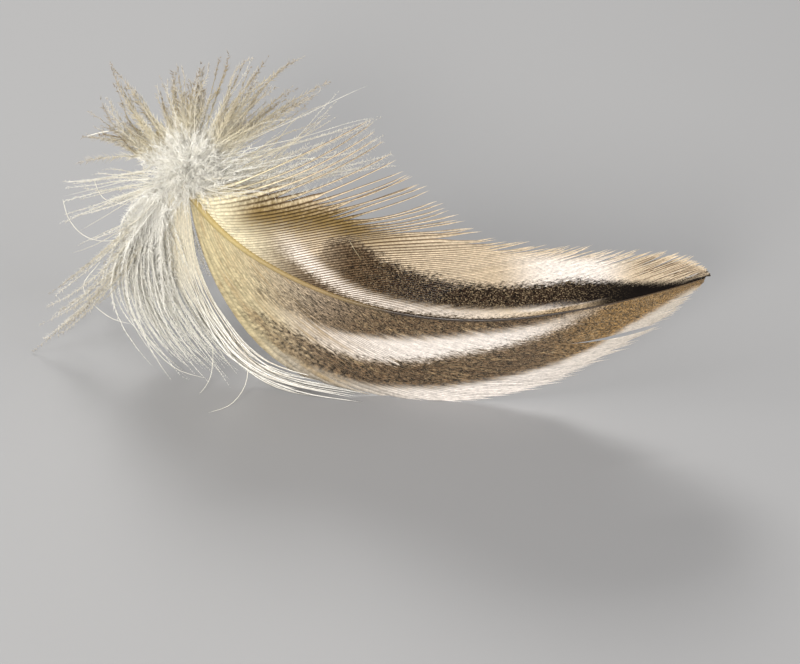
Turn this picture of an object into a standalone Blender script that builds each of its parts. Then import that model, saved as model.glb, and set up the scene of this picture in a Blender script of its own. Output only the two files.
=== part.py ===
"""A duck's flank feather, resting on the lower edge of its near vane and on its down.

The feather is first drawn flat, as if pressed on paper: the shaft, the ends of the
barbs and the edge of the vanes are points (along, up) on that paper. The paper is then
bent: round an upright cylinder, leaning over more and more towards the tip, with the
far vane bent back behind the shaft at the root end. The down is a fan of tapered locks
that spring from the root of the shaft. All of it grew as one piece, so it ends as one
closed solid.

Lengths are in millimetres and angles in degrees. MM turns them into metres when a mesh
is written. X runs along the feather towards its tip, Y away from the side that is
seen, and Z up, with the floor at zero.
"""
import math
import random

import bmesh
import bpy
from mathutils import Vector

MM = 0.001
COLOUR = (0.52, 0.42, 0.28, 1)
ROUGHNESS = 0.55
SHARP_ANGLE = 50.0
SHORTEST_EDGE = 0.002
FLOOR_SIZE = 120.0

# Where the paper stands while it is drawn. ORIGIN is the point under the middle of the
# finished feather, which is moved to the origin at the end.
ORIGIN = (-13.83, 8.315)
BEND_RADIUS = 45.0
BEND_X = 3.3
BEND_Y = -0.15
LEAN_ROOT = 10.5
LEAN_TIP = 29.0
BULGE_RADIUS = 160.0
BACK_BEND = 0.085
BACK_BEND_FROM = 12.0
BACK_BEND_SPAN = 30.0
BACK_BEND_EASE = 0.06

# The shaft on the paper, from the root to the tip.
SHAFT = [(-34.6, 24.2), (-30.3, 21.4), (-24.3, 19.3), (-13.7, 17.3), (-3.2, 17.2), (6.6, 19.0), (16.7, 21.2)]
SHAFT_RADIUS_ROOT = 0.62
SHAFT_RADIUS_TIP = 0.30
SHAFT_SIDES = 7
SHAFT_STEPS = 34
SHAFT_STAND = 0.15
SHAFT_SEARCH_STEPS = 14

# The bare quill behind the root, which curls back into the down.
QUILL = [(-31.3, 12.6, 25.9), (-32.3, 15.2, 27.0), (-32.8, 17.6, 27.2)]
QUILL_RADIUS_END = 0.45
QUILL_STEPS = 6

# Barbs of each vane: place along the shaft from 0 to 1, where the barb ends on the
# paper, and its direction where it leaves the shaft and where it ends.
NEAR_BARBS = [
    (0.00, -15.0, -0.2, -97, -3),
    (0.09, -6.0, -0.2, -84, -3),
    (0.15, -1.0, 0.4, -70, 0),
    (0.27, 6.0, 3.7, -55, 12),
    (0.40, 11.2, 8.6, -50, 14),
    (0.52, 14.2, 12.1, -46, 16),
    (0.68, 16.0, 15.0, -38, 15),
    (0.83, 16.7, 18.0, -26, 13),
    (1.00, 17.3, 20.3, -8, 8),
]
FAR_BARBS = [
    (0.00, -14.5, 36.4, 18, 42),
    (0.05, -10.6, 34.6, 24, 38),
    (0.11, -5.6, 31.4, 26, 32),
    (0.21, 1.6, 29.6, 20, 26),
    (0.30, 5.6, 29.3, 15, 33),
    (0.42, 8.9, 28.6, 14, 34),
    (0.58, 12.0, 27.5, 17, 33),
    (0.70, 14.3, 26.4, 20, 32),
    (0.82, 15.8, 24.4, 22, 30),
    (0.92, 16.6, 22.6, 21, 24),
    (1.00, 17.1, 22.0, 18, 18),
]
BARB_START_PULL = 0.36
BARB_END_PULL = 0.34

# How far along its length each far barb stays knit to its neighbours.
FAR_KNIT = [(0.00, 0.36), (0.06, 0.56), (0.12, 0.74), (0.20, 0.90), (0.30, 0.97), (1.00, 0.98)]

VANE_THICKNESS = 0.50
VANE_ROWS = 46
NEAR_COLUMNS = 8
FAR_COLUMNS = 7

# Splits between two barbs: place along the shaft, where along the barb the split opens,
# and how wide it is at the edge of the vane.
NEAR_SPLITS = [(0.50, 0.60, 1.0)]
FAR_SPLITS = [(0.235, 0.70, 0.7), (0.36, 0.88, 0.6), (0.43, 0.88, 0.6)]
SPLIT_STEPS = 5
SPLIT_DEPTH = 1.5
SPLIT_PAST_EDGE = 1.06
SPLIT_TIP_SHARE = 0.08
BARB_STEP = 0.02

# Free ends of far barbs, which stand clear of the knit part of the vane.
FREE_BARBS = [0.00, 0.025, 0.045, 0.07, 0.09, 0.11, 0.135, 0.16]
FREE_BARB_OVERLAP = 0.12
FREE_BARB_RADIUS = 0.42

# The down: a dense core round the root, and fans of locks that spring from it. Each fan
# has its first and last tip, the points that its first and last lock bend towards on
# the way there, the number of locks, and the radius of a lock where it starts.
CORE_CENTRE = (-30.6, 12.6, 26.0)
CORE_SIZE = (5.2, 4.4, 4.3)
CORE_DEPTH = 0.45
LOCK_SIDES = 5
LOCK_STEPS = 6
LOCK_TIP_RADIUS = 0.16
LOCK_TAPER = 1.3
TIP_SCATTER = 1.0
FLOOR_REACH = 1.0
SEED = 7
FANS = {
    "low_left": ((-51.2, 15.0, -0.2), (-47.5, 17.0, 5.0), (-40.0, 14.0, 6.0), (-40.0, 15.0, 12.0), 5, 0.55),
    "left": ((-44.2, 16.0, 14.2), (-46.7, 20.0, 19.1), (-39.0, 14.0, 16.0), (-39.0, 17.0, 24.0), 4, 0.55),
    "high_left": ((-41.1, 20.0, 26.0), (-36.8, 20.0, 34.9), (-37.0, 16.0, 29.0), (-34.0, 16.0, 32.0), 6, 0.60),
    "crown": ((-35.6, 20.0, 32.0), (-24.7, 20.0, 35.1), (-33.5, 16.0, 31.0), (-27.5, 15.5, 32.5), 9, 0.62),
    "crown_right": ((-22.6, 19.0, 35.2), (-14.9, 12.0, 34.5), (-26.5, 15.0, 32.0), (-23.0, 12.5, 31.0), 8, 0.60),
    "shoulder": ((-14.0, 11.5, 33.0), (-9.9, 10.0, 35.8), (-22.0, 11.5, 29.5), (-20.0, 11.0, 30.0), 3, 0.50),
    "back_high": ((-38.0, 26.0, 20.0), (-24.0, 25.0, 23.0), (-35.0, 20.0, 25.0), (-28.0, 20.0, 26.0), 6, 0.75),
    "back_low": ((-44.0, 24.0, -0.2), (-25.0, 24.0, -0.2), (-39.0, 22.0, 14.0), (-28.0, 22.0, 14.0), 7, 0.80),
    "skirt": ((-38.0, 9.5, -0.2), (-27.5, 4.2, -0.2), (-42.0, 11.0, 8.0), (-32.0, 8.0, 8.0), 10, 0.60),
    "loose_bunch": ((-24.0, 5.4, 0.0), (-12.9, 2.5, 0.0), (-32.0, 7.0, 3.0), (-32.5, 5.0, 0.6), 6, 0.50),
}


def clear_scene():
    for item in list(bpy.data.objects):
        bpy.data.objects.remove(item, do_unlink=True)


def spline(points, where):
    """The point at `where`, from 0 to 1, on a smooth curve through the given points."""
    spans = len(points) - 1
    place = min(max(where, 0.0), 1.0) * spans
    index = min(int(place), spans - 1)
    local = place - index
    p1 = Vector(points[index])
    p2 = Vector(points[index + 1])
    p0 = Vector(points[index - 1]) if index else p1 * 2 - p2
    p3 = Vector(points[index + 2]) if index + 2 <= spans else p2 * 2 - p1
    return 0.5 * (2 * p1 + (p2 - p0) * local + (2 * p0 - 5 * p1 + 4 * p2 - p3) * local ** 2
                  + (3 * p1 - p0 - 3 * p2 + p3) * local ** 3)


def read_rows(rows, where):
    """The values at `where`, read between rows that each start with a place."""
    last = len(rows) - 1
    index = 0
    while index < last - 1 and rows[index + 1][0] < where:
        index += 1
    low = rows[index]
    high = rows[index + 1]
    share = min(max((where - low[0]) / (high[0] - low[0]), 0.0), 1.0)
    return [a + (b - a) * share for a, b in zip(low[1:], high[1:])]


def shaft_at(where):
    return spline(SHAFT, where)


def shaft_height(along):
    """Height of the shaft on the paper at a distance along it."""
    low, high = 0.0, 1.0
    for _ in range(SHAFT_SEARCH_STEPS):
        middle = (low + high) / 2
        if shaft_at(middle)[0] < along:
            low = middle
        else:
            high = middle
    return shaft_at(low)[1]


def paper_frame(along):
    """Foot of the upright line on the paper, its outward direction and its lean."""
    turn = along / BEND_RADIUS
    foot = Vector((BEND_X + BEND_RADIUS * math.sin(turn), BEND_Y + BEND_RADIUS * (1 - math.cos(turn)), 0))
    outward = Vector((math.sin(turn), -math.cos(turn), 0))
    share = (along - SHAFT[0][0]) / (SHAFT[-1][0] - SHAFT[0][0])
    lean = math.radians(LEAN_ROOT + (LEAN_TIP - LEAN_ROOT) * share)
    return foot, outward, lean


def bend(along, up, proud=0.0):
    """World place of a point of the paper, `proud` in front of it."""
    foot, outward, lean = paper_frame(along)
    tilt = lean - up / BULGE_RADIUS
    forward = BULGE_RADIUS * (math.cos(tilt) - math.cos(lean))
    rise = BULGE_RADIUS * (math.sin(lean) - math.sin(tilt))
    strength = BACK_BEND * max((BACK_BEND_FROM - along) / BACK_BEND_SPAN, 0.0) ** 2
    over = max(up - shaft_height(along), 0.0)
    back = strength * over ** 2 / (1 + BACK_BEND_EASE * over)
    front = outward * math.cos(tilt) - Vector((0, 0, math.sin(tilt)))
    return foot + outward * (forward - back) + Vector((0, 0, rise)) + front * proud


def barb_point(rows, where, along):
    """A point on the paper, `along` a barb from the shaft, 0, to its end, 1."""
    end_x, end_y, start_angle, end_angle = read_rows(rows, where)
    start = shaft_at(where)
    end = Vector((end_x, end_y))
    reach = (end - start).length
    leave = Vector((math.cos(math.radians(start_angle)), math.sin(math.radians(start_angle))))
    arrive = Vector((math.cos(math.radians(end_angle)), math.sin(math.radians(end_angle))))
    first = start + leave * reach * BARB_START_PULL
    second = end - arrive * reach * BARB_END_PULL
    rest = 1 - along
    return (start * rest ** 3 + first * 3 * rest ** 2 * along
            + second * 3 * rest * along ** 2 + end * along ** 3)


def vane_rows():
    """Points of the paper in rows across both vanes, from the root to the tip."""
    rows = []
    for row in range(VANE_ROWS + 1):
        where = row / VANE_ROWS
        knit = read_rows(FAR_KNIT, where)[0]
        line = []
        for column in range(NEAR_COLUMNS, 0, -1):
            line.append(barb_point(NEAR_BARBS, where, column / NEAR_COLUMNS))
        line.append(shaft_at(where))
        for column in range(1, FAR_COLUMNS + 1):
            line.append(barb_point(FAR_BARBS, where, knit * column / FAR_COLUMNS))
        rows.append(line)
    return rows


def mesh_object(name, mesh):
    body = bpy.data.meshes.new(name)
    mesh.to_mesh(body)
    mesh.free()
    made = bpy.data.objects.new(name, body)
    bpy.context.collection.objects.link(made)
    return made


def make_vanes():
    """Both vanes as one thin shell of even thickness round the bent paper."""
    mesh = bmesh.new()
    rows = vane_rows()
    half = VANE_THICKNESS / 2
    sheets = []
    for proud in (half, -half):
        sheet = []
        for line in rows:
            sheet.append([mesh.verts.new(bend(x, y, proud) * MM) for x, y in line])
        sheets.append(sheet)
    front, back = sheets
    last_row = len(rows) - 1
    last_column = len(rows[0]) - 1
    for row in range(last_row):
        for column in range(last_column):
            around = ((row, column), (row + 1, column), (row + 1, column + 1), (row, column + 1))
            mesh.faces.new([front[i][j] for i, j in around])
            mesh.faces.new([back[i][j] for i, j in reversed(around)])
    rim = [(row, 0) for row in range(last_row)]
    rim += [(last_row, column) for column in range(last_column)]
    rim += [(row, last_column) for row in range(last_row, 0, -1)]
    rim += [(0, column) for column in range(last_column, 0, -1)]
    for place, (i, j) in enumerate(rim):
        k, m = rim[(place + 1) % len(rim)]
        mesh.faces.new([front[k][m], front[i][j], back[i][j], back[k][m]])
    bmesh.ops.recalc_face_normals(mesh, faces=mesh.faces)
    return mesh_object("vanes", mesh)


def make_tube(name, path, radii, sides):
    """A closed tube with flat ends along a path of world points in millimetres."""
    mesh = bmesh.new()
    rings = []
    side = None
    for index, point in enumerate(path):
        ahead = path[min(index + 1, len(path) - 1)] - path[max(index - 1, 0)]
        ahead.normalize()
        if side is None:
            side = ahead.orthogonal().normalized()
        side = (side - ahead * side.dot(ahead)).normalized()
        across = ahead.cross(side)
        ring = []
        for corner in range(sides):
            angle = 2 * math.pi * corner / sides
            offset = side * math.cos(angle) + across * math.sin(angle)
            ring.append(mesh.verts.new((point + offset * radii[index]) * MM))
        rings.append(ring)
    for low, high in zip(rings, rings[1:]):
        for corner in range(sides):
            after = (corner + 1) % sides
            mesh.faces.new([low[corner], low[after], high[after], high[corner]])
    mesh.faces.new(list(reversed(rings[0])))
    mesh.faces.new(rings[-1])
    bmesh.ops.recalc_face_normals(mesh, faces=mesh.faces)
    return mesh_object(name, mesh)


def make_shaft():
    """The shaft along both vanes, and the bare quill that curls back behind its root."""
    path = []
    radii = []
    quill = [Vector(point) for point in reversed(QUILL)]
    root = bend(*shaft_at(0.0), SHAFT_STAND)
    for step in range(QUILL_STEPS):
        share = step / QUILL_STEPS
        path.append(spline(quill + [root], share))
        radii.append(QUILL_RADIUS_END + (SHAFT_RADIUS_ROOT - QUILL_RADIUS_END) * share)
    for step in range(SHAFT_STEPS + 1):
        where = step / SHAFT_STEPS
        path.append(bend(*shaft_at(where), SHAFT_STAND))
        radii.append(SHAFT_RADIUS_ROOT + (SHAFT_RADIUS_TIP - SHAFT_RADIUS_ROOT) * where)
    return make_tube("shaft", path, radii, SHAFT_SIDES)


def make_free_barbs():
    """Ends of far barbs that have come loose and stand clear of the knit vane."""
    made = []
    for place, where in enumerate(FREE_BARBS):
        start = read_rows(FAR_KNIT, where)[0] - FREE_BARB_OVERLAP
        path = []
        radii = []
        for step in range(LOCK_STEPS + 1):
            share = step / LOCK_STEPS
            path.append(bend(*barb_point(FAR_BARBS, where, start + (1 - start) * share)))
            radii.append(FREE_BARB_RADIUS + (LOCK_TIP_RADIUS - FREE_BARB_RADIUS) * share)
        made.append(make_tube("free_barb_%d" % place, path, radii, LOCK_SIDES))
    return made


def make_split(rows, where, opens, width):
    """A wedge that follows one barb and widens to the edge of the vane."""
    mesh = bmesh.new()
    rings = []
    for step in range(SPLIT_STEPS + 1):
        share = step / SPLIT_STEPS
        along = opens + (SPLIT_PAST_EDGE - opens) * share
        point = barb_point(rows, where, along)
        ahead = barb_point(rows, where, along + BARB_STEP) - point
        half_width = width / 2 * (SPLIT_TIP_SHARE + share)
        across = Vector((-ahead[1], ahead[0])).normalized() * half_width
        corners = ((1, SPLIT_DEPTH), (-1, SPLIT_DEPTH), (-1, -SPLIT_DEPTH), (1, -SPLIT_DEPTH))
        rings.append([mesh.verts.new(bend(*(point + across * side), proud) * MM) for side, proud in corners])
    for low, high in zip(rings, rings[1:]):
        for corner in range(4):
            after = (corner + 1) % 4
            mesh.faces.new([low[corner], low[after], high[after], high[corner]])
    mesh.faces.new(list(reversed(rings[0])))
    mesh.faces.new(rings[-1])
    bmesh.ops.recalc_face_normals(mesh, faces=mesh.faces)
    return mesh_object("split", mesh)


def make_core():
    mesh = bmesh.new()
    bmesh.ops.create_icosphere(mesh, subdivisions=2, radius=1.0)
    centre = Vector(CORE_CENTRE)
    for vert in mesh.verts:
        vert.co = (centre + Vector([vert.co[i] * CORE_SIZE[i] for i in range(3)])) * MM
    return mesh_object("core", mesh)


def make_fan(name, fan, chance):
    """Tapered locks from the core to tips spread between two places."""
    first_tip, last_tip, first_elbow, last_elbow, count, radius = fan
    centre = Vector(CORE_CENTRE)
    made = []
    for lock in range(count):
        share = lock / (count - 1)
        tip = Vector(first_tip).lerp(Vector(last_tip), share)
        elbow = Vector(first_elbow).lerp(Vector(last_elbow), share)
        scatter = Vector([chance.uniform(-TIP_SCATTER, TIP_SCATTER) for _ in range(3)])
        if 0 < lock < count - 1:
            on_floor = tip.z < FLOOR_REACH
            tip += Vector((scatter.x, scatter.y, 0)) if on_floor else scatter
            elbow += scatter
        toward = (elbow - centre).normalized()
        start = centre + Vector([toward[i] * CORE_SIZE[i] * CORE_DEPTH for i in range(3)])
        path = []
        radii = []
        for step in range(LOCK_STEPS + 1):
            along = step / LOCK_STEPS
            rest = 1 - along
            path.append(start * rest ** 2 + elbow * 2 * rest * along + tip * along ** 2)
            radii.append(radius + (LOCK_TIP_RADIUS - radius) * along ** LOCK_TAPER)
        made.append(make_tube("%s_%d" % (name, lock), path, radii, LOCK_SIDES))
    return made


def make_down():
    chance = random.Random(SEED)
    made = []
    for name, fan in FANS.items():
        made += make_fan(name, fan, chance)
    return made


def apply_boolean(target, tool, operation):
    """Joins the tool to the target, or cuts it away, and removes the tool."""
    change = target.modifiers.new(operation.lower(), "BOOLEAN")
    change.operation = operation
    change.solver = "EXACT"
    change.object = tool
    graph = bpy.context.evaluated_depsgraph_get()
    graph.update()
    result = bpy.data.meshes.new_from_object(target.evaluated_get(graph), depsgraph=graph)
    target.modifiers.clear()
    target.data = result
    bpy.data.objects.remove(tool, do_unlink=True)


def make_floor_block():
    """A block whose top is the floor, which trims flat all that rests there."""
    mesh = bmesh.new()
    bmesh.ops.create_cube(mesh, size=FLOOR_SIZE * MM)
    middle = (ORIGIN[0] * MM, ORIGIN[1] * MM, -FLOOR_SIZE / 2 * MM)
    bmesh.ops.translate(mesh, verts=mesh.verts, vec=middle)
    return mesh_object("floor_block", mesh)


def tidy_mesh(body):
    """Triangles only, moved so that the origin is under the middle of the feather."""
    mesh = bmesh.new()
    mesh.from_mesh(body.data)
    bmesh.ops.dissolve_degenerate(mesh, edges=mesh.edges, dist=SHORTEST_EDGE * MM)
    bmesh.ops.triangulate(mesh, faces=mesh.faces)
    bmesh.ops.translate(mesh, verts=mesh.verts, vec=(-ORIGIN[0] * MM, -ORIGIN[1] * MM, 0))
    mesh.to_mesh(body.data)
    mesh.free()


def feather_material():
    material = bpy.data.materials.new("feather")
    material.use_nodes = True
    shader = material.node_tree.nodes["Principled BSDF"]
    shader.inputs["Base Color"].default_value = COLOUR
    shader.inputs["Roughness"].default_value = ROUGHNESS
    return material


def main():
    clear_scene()
    feather = make_vanes()
    feather.name = "feather"
    for rows, splits in ((NEAR_BARBS, NEAR_SPLITS), (FAR_BARBS, FAR_SPLITS)):
        for where, opens, width in splits:
            apply_boolean(feather, make_split(rows, where, opens, width), "DIFFERENCE")
    for piece in [make_shaft(), make_core()] + make_free_barbs() + make_down():
        apply_boolean(feather, piece, "UNION")
    apply_boolean(feather, make_floor_block(), "DIFFERENCE")
    tidy_mesh(feather)
    feather.data.name = "feather"
    feather.data.materials.clear()
    feather.data.materials.append(feather_material())
    feather.data.shade_smooth()
    feather.data.set_sharp_from_angle(angle=math.radians(SHARP_ANGLE))


main()
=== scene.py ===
"""A duck's flank feather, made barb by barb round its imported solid.

The feather is drawn flat first, as if pressed on paper, and the paper is then bent, with
the same formula and sizes as the solid. Barbs are copies of one fibre, laid side by side
along curved paths on that paper. The down is made of plumes: each is a fine tapered shaft
with barbules all round it. Lengths are in millimetres until a mesh is written.
"""

import math

import bpy
import numpy as np
from mathutils import Matrix, Vector


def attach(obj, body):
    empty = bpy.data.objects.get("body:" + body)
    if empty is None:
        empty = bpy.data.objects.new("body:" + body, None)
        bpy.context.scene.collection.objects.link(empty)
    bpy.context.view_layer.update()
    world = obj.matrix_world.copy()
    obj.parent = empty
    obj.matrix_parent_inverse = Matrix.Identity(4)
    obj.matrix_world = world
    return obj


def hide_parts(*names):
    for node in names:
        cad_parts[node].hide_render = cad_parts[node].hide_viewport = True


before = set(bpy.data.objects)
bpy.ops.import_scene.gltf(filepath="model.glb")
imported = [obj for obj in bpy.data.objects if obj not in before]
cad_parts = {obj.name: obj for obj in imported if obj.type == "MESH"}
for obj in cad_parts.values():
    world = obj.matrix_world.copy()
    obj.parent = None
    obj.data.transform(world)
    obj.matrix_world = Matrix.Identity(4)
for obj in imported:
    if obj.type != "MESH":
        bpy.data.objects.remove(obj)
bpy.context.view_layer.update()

MM = 0.001
SEED = 15
TURN = 6.28

# The paper and how it is bent, as in the solid.
ORIGIN = np.array([-13.83, 8.315, 0.0])
BEND_RADIUS = 45.0
BEND_X = 3.3
BEND_Y = -0.15
LEAN_ROOT = 10.5
LEAN_TIP = 29.0
BULGE_RADIUS = 160.0
BACK_BEND = 0.085
BACK_BEND_FROM = 12.0
BACK_BEND_SPAN = 30.0
BACK_BEND_EASE = 0.06
SHAFT = [
    (-34.6, 24.2), (-30.3, 21.4), (-24.3, 19.3), (-13.7, 17.3), (-3.2, 17.2), (6.6, 19.0), (16.7, 21.2),
]
SHAFT_POINTS = 400
# The paper's own map: its lowest corner and the side of the square that holds it.
MAP_CORNER = (-44.0, -4.0)
MAP_SIDE = 64.0

# Barbs: place along the shaft from 0 to 1, where the barb ends on the paper, and its
# direction in degrees where it leaves the shaft and where it ends.
NEAR_BARBS = [
    (0.00, -23.3, 0.5, -98, -8),
    (0.04, -15.5, -0.1, -92, -4),
    (0.09, -6.0, -0.2, -84, -3),
    (0.15, -1.0, 0.4, -70, 0),
    (0.27, 6.0, 3.7, -55, 12),
    (0.40, 11.2, 8.6, -50, 14),
    (0.52, 13.9, 12.2, -46, 16),
    (0.68, 15.6, 15.2, -38, 15),
    (0.83, 16.4, 18.0, -26, 13),
    (1.00, 16.9, 20.4, -8, 8),
]
FAR_BARBS = [
    (0.000, -14.8, 36.4, 20, 44),
    (0.050, -12.6, 35.0, 16, 44),
    (0.100, -9.9, 33.9, 14, 44),
    (0.180, -7.4, 33.1, 18, 42),
    (0.230, -5.2, 32.2, 24, 40),
    (0.270, -4.2, 30.9, 26, 34),
    (0.302, -2.6, 30.0, 28, 24),
    (0.342, 0.6, 29.6, 31, 28),
    (0.420, 5.6, 29.3, 30, 32),
    (0.490, 8.9, 28.8, 28, 34),
    (0.570, 11.6, 28.1, 27, 34),
    (0.650, 13.7, 27.2, 27, 34),
    (0.740, 15.0, 25.9, 26, 33),
    (0.830, 16.0, 24.4, 25, 31),
    (0.900, 16.6, 23.2, 24, 28),
    (1.000, 17.1, 21.9, 18, 22),
]
BARB_START_PULL = 0.36
BARB_END_PULL = 0.34

# How far along its length a barb stays knit to its neighbours.
NEAR_KNIT = [(0.0, 0.96), (1.0, 0.97)]
FAR_KNIT = [
    (0.000, 0.12), (0.050, 0.30), (0.100, 0.50), (0.180, 0.53), (0.230, 0.56), (0.266, 0.62),
    (0.302, 0.78), (0.342, 0.86), (0.450, 0.88), (0.620, 0.79), (0.800, 0.70), (1.000, 0.62),
]

# Splits between two barbs: place along the shaft, where along the barb the split opens,
# and how wide it is at the edge.
NEAR_SPLITS = [
    (0.565, 0.58, 1.1), (0.72, 0.72, 0.35), (0.84, 0.62, 0.3), (0.30, 0.86, 0.3), (0.04, 0.55, 0.3),
]
FAR_SPLITS = [
    (0.318, 0.74, 0.7), (0.375, 0.84, 0.35), (0.420, 0.86, 0.4), (0.455, 0.82, 0.8), (0.490, 0.82, 0.7),
    (0.550, 0.82, 0.45), (0.595, 0.76, 0.5), (0.640, 0.72, 0.5), (0.695, 0.64, 0.5), (0.750, 0.62, 0.5),
    (0.800, 0.58, 0.5), (0.860, 0.52, 0.5), (0.920, 0.46, 0.45),
]
SPLIT_SPREAD = 0.035
SPLIT_OPENS_OVER = 0.3

# Each vane: its rows from above, how many barbs it has, how far a barb stands out from the
# paper, and how much the free ends bunch.
NEAR = {
    "barbs": NEAR_BARBS, "knit": NEAR_KNIT, "splits": NEAR_SPLITS,
    "count": 112, "ridge": 0.04, "bunching": 0.3,
}
FAR = {
    "barbs": FAR_BARBS, "knit": FAR_KNIT, "splits": FAR_SPLITS,
    "count": 126, "ridge": 0.10, "bunching": 0.3,
}

# All barbs: their sides and rings, how much they overlap, how much one side lies lower
# than the other, and how much shorter than drawn or sooner free one may be by chance.
BARB_SIDES = 4
BARB_STEPS = 14
BARB_OVERLAP = 1.12
BARB_LEAN = 0.02
SHORTER_BY = 0.03
KNIT_JITTER = 0.03
PATH_STEP = 0.01
SHARP_ANGLE = 60
# Their free ends: half width, how much of it is lost to the tip, how soon it is reached,
# how far and in how many waves they sway, how far they lift, and how many make a bunch.
FREE_HALF_WIDTH = 0.10
FREE_TAPER = 0.6
FREE_EASE = 0.07
FREE_SWAY = 0.20
FREE_WAVES = (0.6, 1.4)
FREE_LIFT = 0.4
BUNCH_SIZES = (2, 6)
# How much of its lane on the barb map a fibre fills to either side.
LANE_HALF = 0.49


def deselect_all():
    bpy.ops.object.select_all(action="DESELECT")


def unit(vectors):
    return vectors / np.maximum(np.linalg.norm(vectors, axis=-1, keepdims=True), 1e-9)


def spline(points, where):
    """Points at `where`, from 0 to 1, on a smooth curve through the given points."""
    points = np.asarray(points, float)
    spans = len(points) - 1
    place = np.clip(where, 0, 1) * spans
    index = np.minimum(place.astype(int), spans - 1)
    local = (place - index)[..., None]
    ends = np.vstack([2 * points[0] - points[1], points, 2 * points[-1] - points[-2]])
    p0, p1, p2, p3 = (ends[index + step] for step in range(4))
    return 0.5 * (2 * p1 + (p2 - p0) * local + (2 * p0 - 5 * p1 + 4 * p2 - p3) * local ** 2
                  + (3 * p1 - p0 - 3 * p2 + p3) * local ** 3)


def read_rows(rows, where, column):
    rows = np.array(rows, float)
    return np.interp(where, rows[:, 0], rows[:, column])


SHAFT_LINE = spline(SHAFT, np.linspace(0, 1, SHAFT_POINTS))


def bend(along, up, proud):
    """World points of the paper, `proud` in front of it, in the part's frame."""
    turn = np.maximum(along, SHAFT[0][0]) / BEND_RADIUS
    flat = np.zeros_like(turn)
    foot_y = BEND_Y + BEND_RADIUS * (1 - np.cos(turn))
    foot = np.stack([BEND_X + BEND_RADIUS * np.sin(turn), foot_y, flat], -1)
    outward = np.stack([np.sin(turn), -np.cos(turn), flat], -1)
    straight = np.minimum(along - SHAFT[0][0], 0)
    foot = foot + np.stack([np.cos(turn), np.sin(turn), flat], -1) * straight[..., None]
    upward = np.array([0.0, 0.0, 1.0])
    share = (along - SHAFT[0][0]) / (SHAFT[-1][0] - SHAFT[0][0])
    lean = np.radians(LEAN_ROOT + (LEAN_TIP - LEAN_ROOT) * share)
    tilt = lean - up / BULGE_RADIUS
    forward = BULGE_RADIUS * (np.cos(tilt) - np.cos(lean))
    rise = BULGE_RADIUS * (np.sin(lean) - np.sin(tilt))
    strength = BACK_BEND * np.maximum((BACK_BEND_FROM - along) / BACK_BEND_SPAN, 0) ** 2
    over = np.maximum(up - np.interp(along, SHAFT_LINE[:, 0], SHAFT_LINE[:, 1]), 0)
    back = strength * over ** 2 / (1 + BACK_BEND_EASE * over)
    front = outward * np.cos(tilt)[..., None] - upward * np.sin(tilt)[..., None]
    return (foot + outward * (forward - back)[..., None] + upward * rise[..., None]
            + front * np.asarray(proud)[..., None] - ORIGIN)


def even_places(share):
    """Places along the shaft that are the same distance apart for even shares of its length."""
    steps = np.linalg.norm(np.diff(SHAFT_LINE, axis=0), axis=1)
    reached = np.concatenate([[0], np.cumsum(steps)]) / steps.sum()
    return np.interp(share, reached, np.linspace(0, 1, len(SHAFT_LINE)))


def barb_points(rows, where, along):
    """Paper points of barbs that start at `where`, for a row of places along each."""
    end = np.stack([read_rows(rows, where, 1), read_rows(rows, where, 2)], -1)
    leave = np.radians(read_rows(rows, where, 3))
    arrive = np.radians(read_rows(rows, where, 4))
    start = spline(SHAFT, where)
    reach = np.linalg.norm(end - start, axis=-1, keepdims=True)
    first = start + np.stack([np.cos(leave), np.sin(leave)], -1) * reach * BARB_START_PULL
    second = end - np.stack([np.cos(arrive), np.sin(arrive)], -1) * reach * BARB_END_PULL
    t = along[..., None]
    rest = 1 - t
    return (start[:, None] * rest ** 3 + first[:, None] * 3 * rest ** 2 * t
            + second[:, None] * 3 * rest * t ** 2 + end[:, None] * t ** 3)


def smooth(value, low, high):
    share = np.clip((value - low) / (high - low), 0, 1)
    return share * share * (3 - 2 * share)


def turned(heading, angle):
    """Directions on the paper, each turned by an angle."""
    return np.stack([heading[:, 0] * np.cos(angle) - heading[:, 1] * np.sin(angle),
                     heading[:, 0] * np.sin(angle) + heading[:, 1] * np.cos(angle)], -1)


def fibre(sides, steps):
    """A fibre one unit long, drawn out of a small disc ring by ring and closed in a point.

    Also gives how far along each of its points is, its two places across, and its ring.
    """
    deselect_all()
    bpy.ops.mesh.primitive_circle_add(vertices=sides, radius=1.0, fill_type="NGON",
                                      rotation=(0, math.pi / 2, 0))
    blank = bpy.context.object
    blank.name = "fibre_blank"
    bpy.ops.object.transform_apply(location=True, rotation=True, scale=True)
    bpy.ops.object.mode_set(mode="EDIT")
    bpy.ops.mesh.select_all(action="SELECT")
    for _ in range(steps):
        bpy.ops.mesh.extrude_region_move(TRANSFORM_OT_translate={"value": (1.0 / steps, 0, 0)})
    bpy.ops.mesh.merge(type="CENTER")
    bpy.ops.mesh.select_all(action="SELECT")
    bpy.ops.mesh.normals_make_consistent(inside=False)
    bpy.ops.object.mode_set(mode="OBJECT")
    points = np.array([vert.co for vert in blank.data.vertices])
    return blank, points[:, 0], points[:, 1], points[:, 2], np.rint(points[:, 0] * steps).astype(int)


def lowest_first(face):
    """A face's points in the same turn, from the lowest on: an extrusion starts at any of them."""
    points = list(face.vertices)
    start = points.index(min(points))
    return points[start:] + points[:start]


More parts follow.
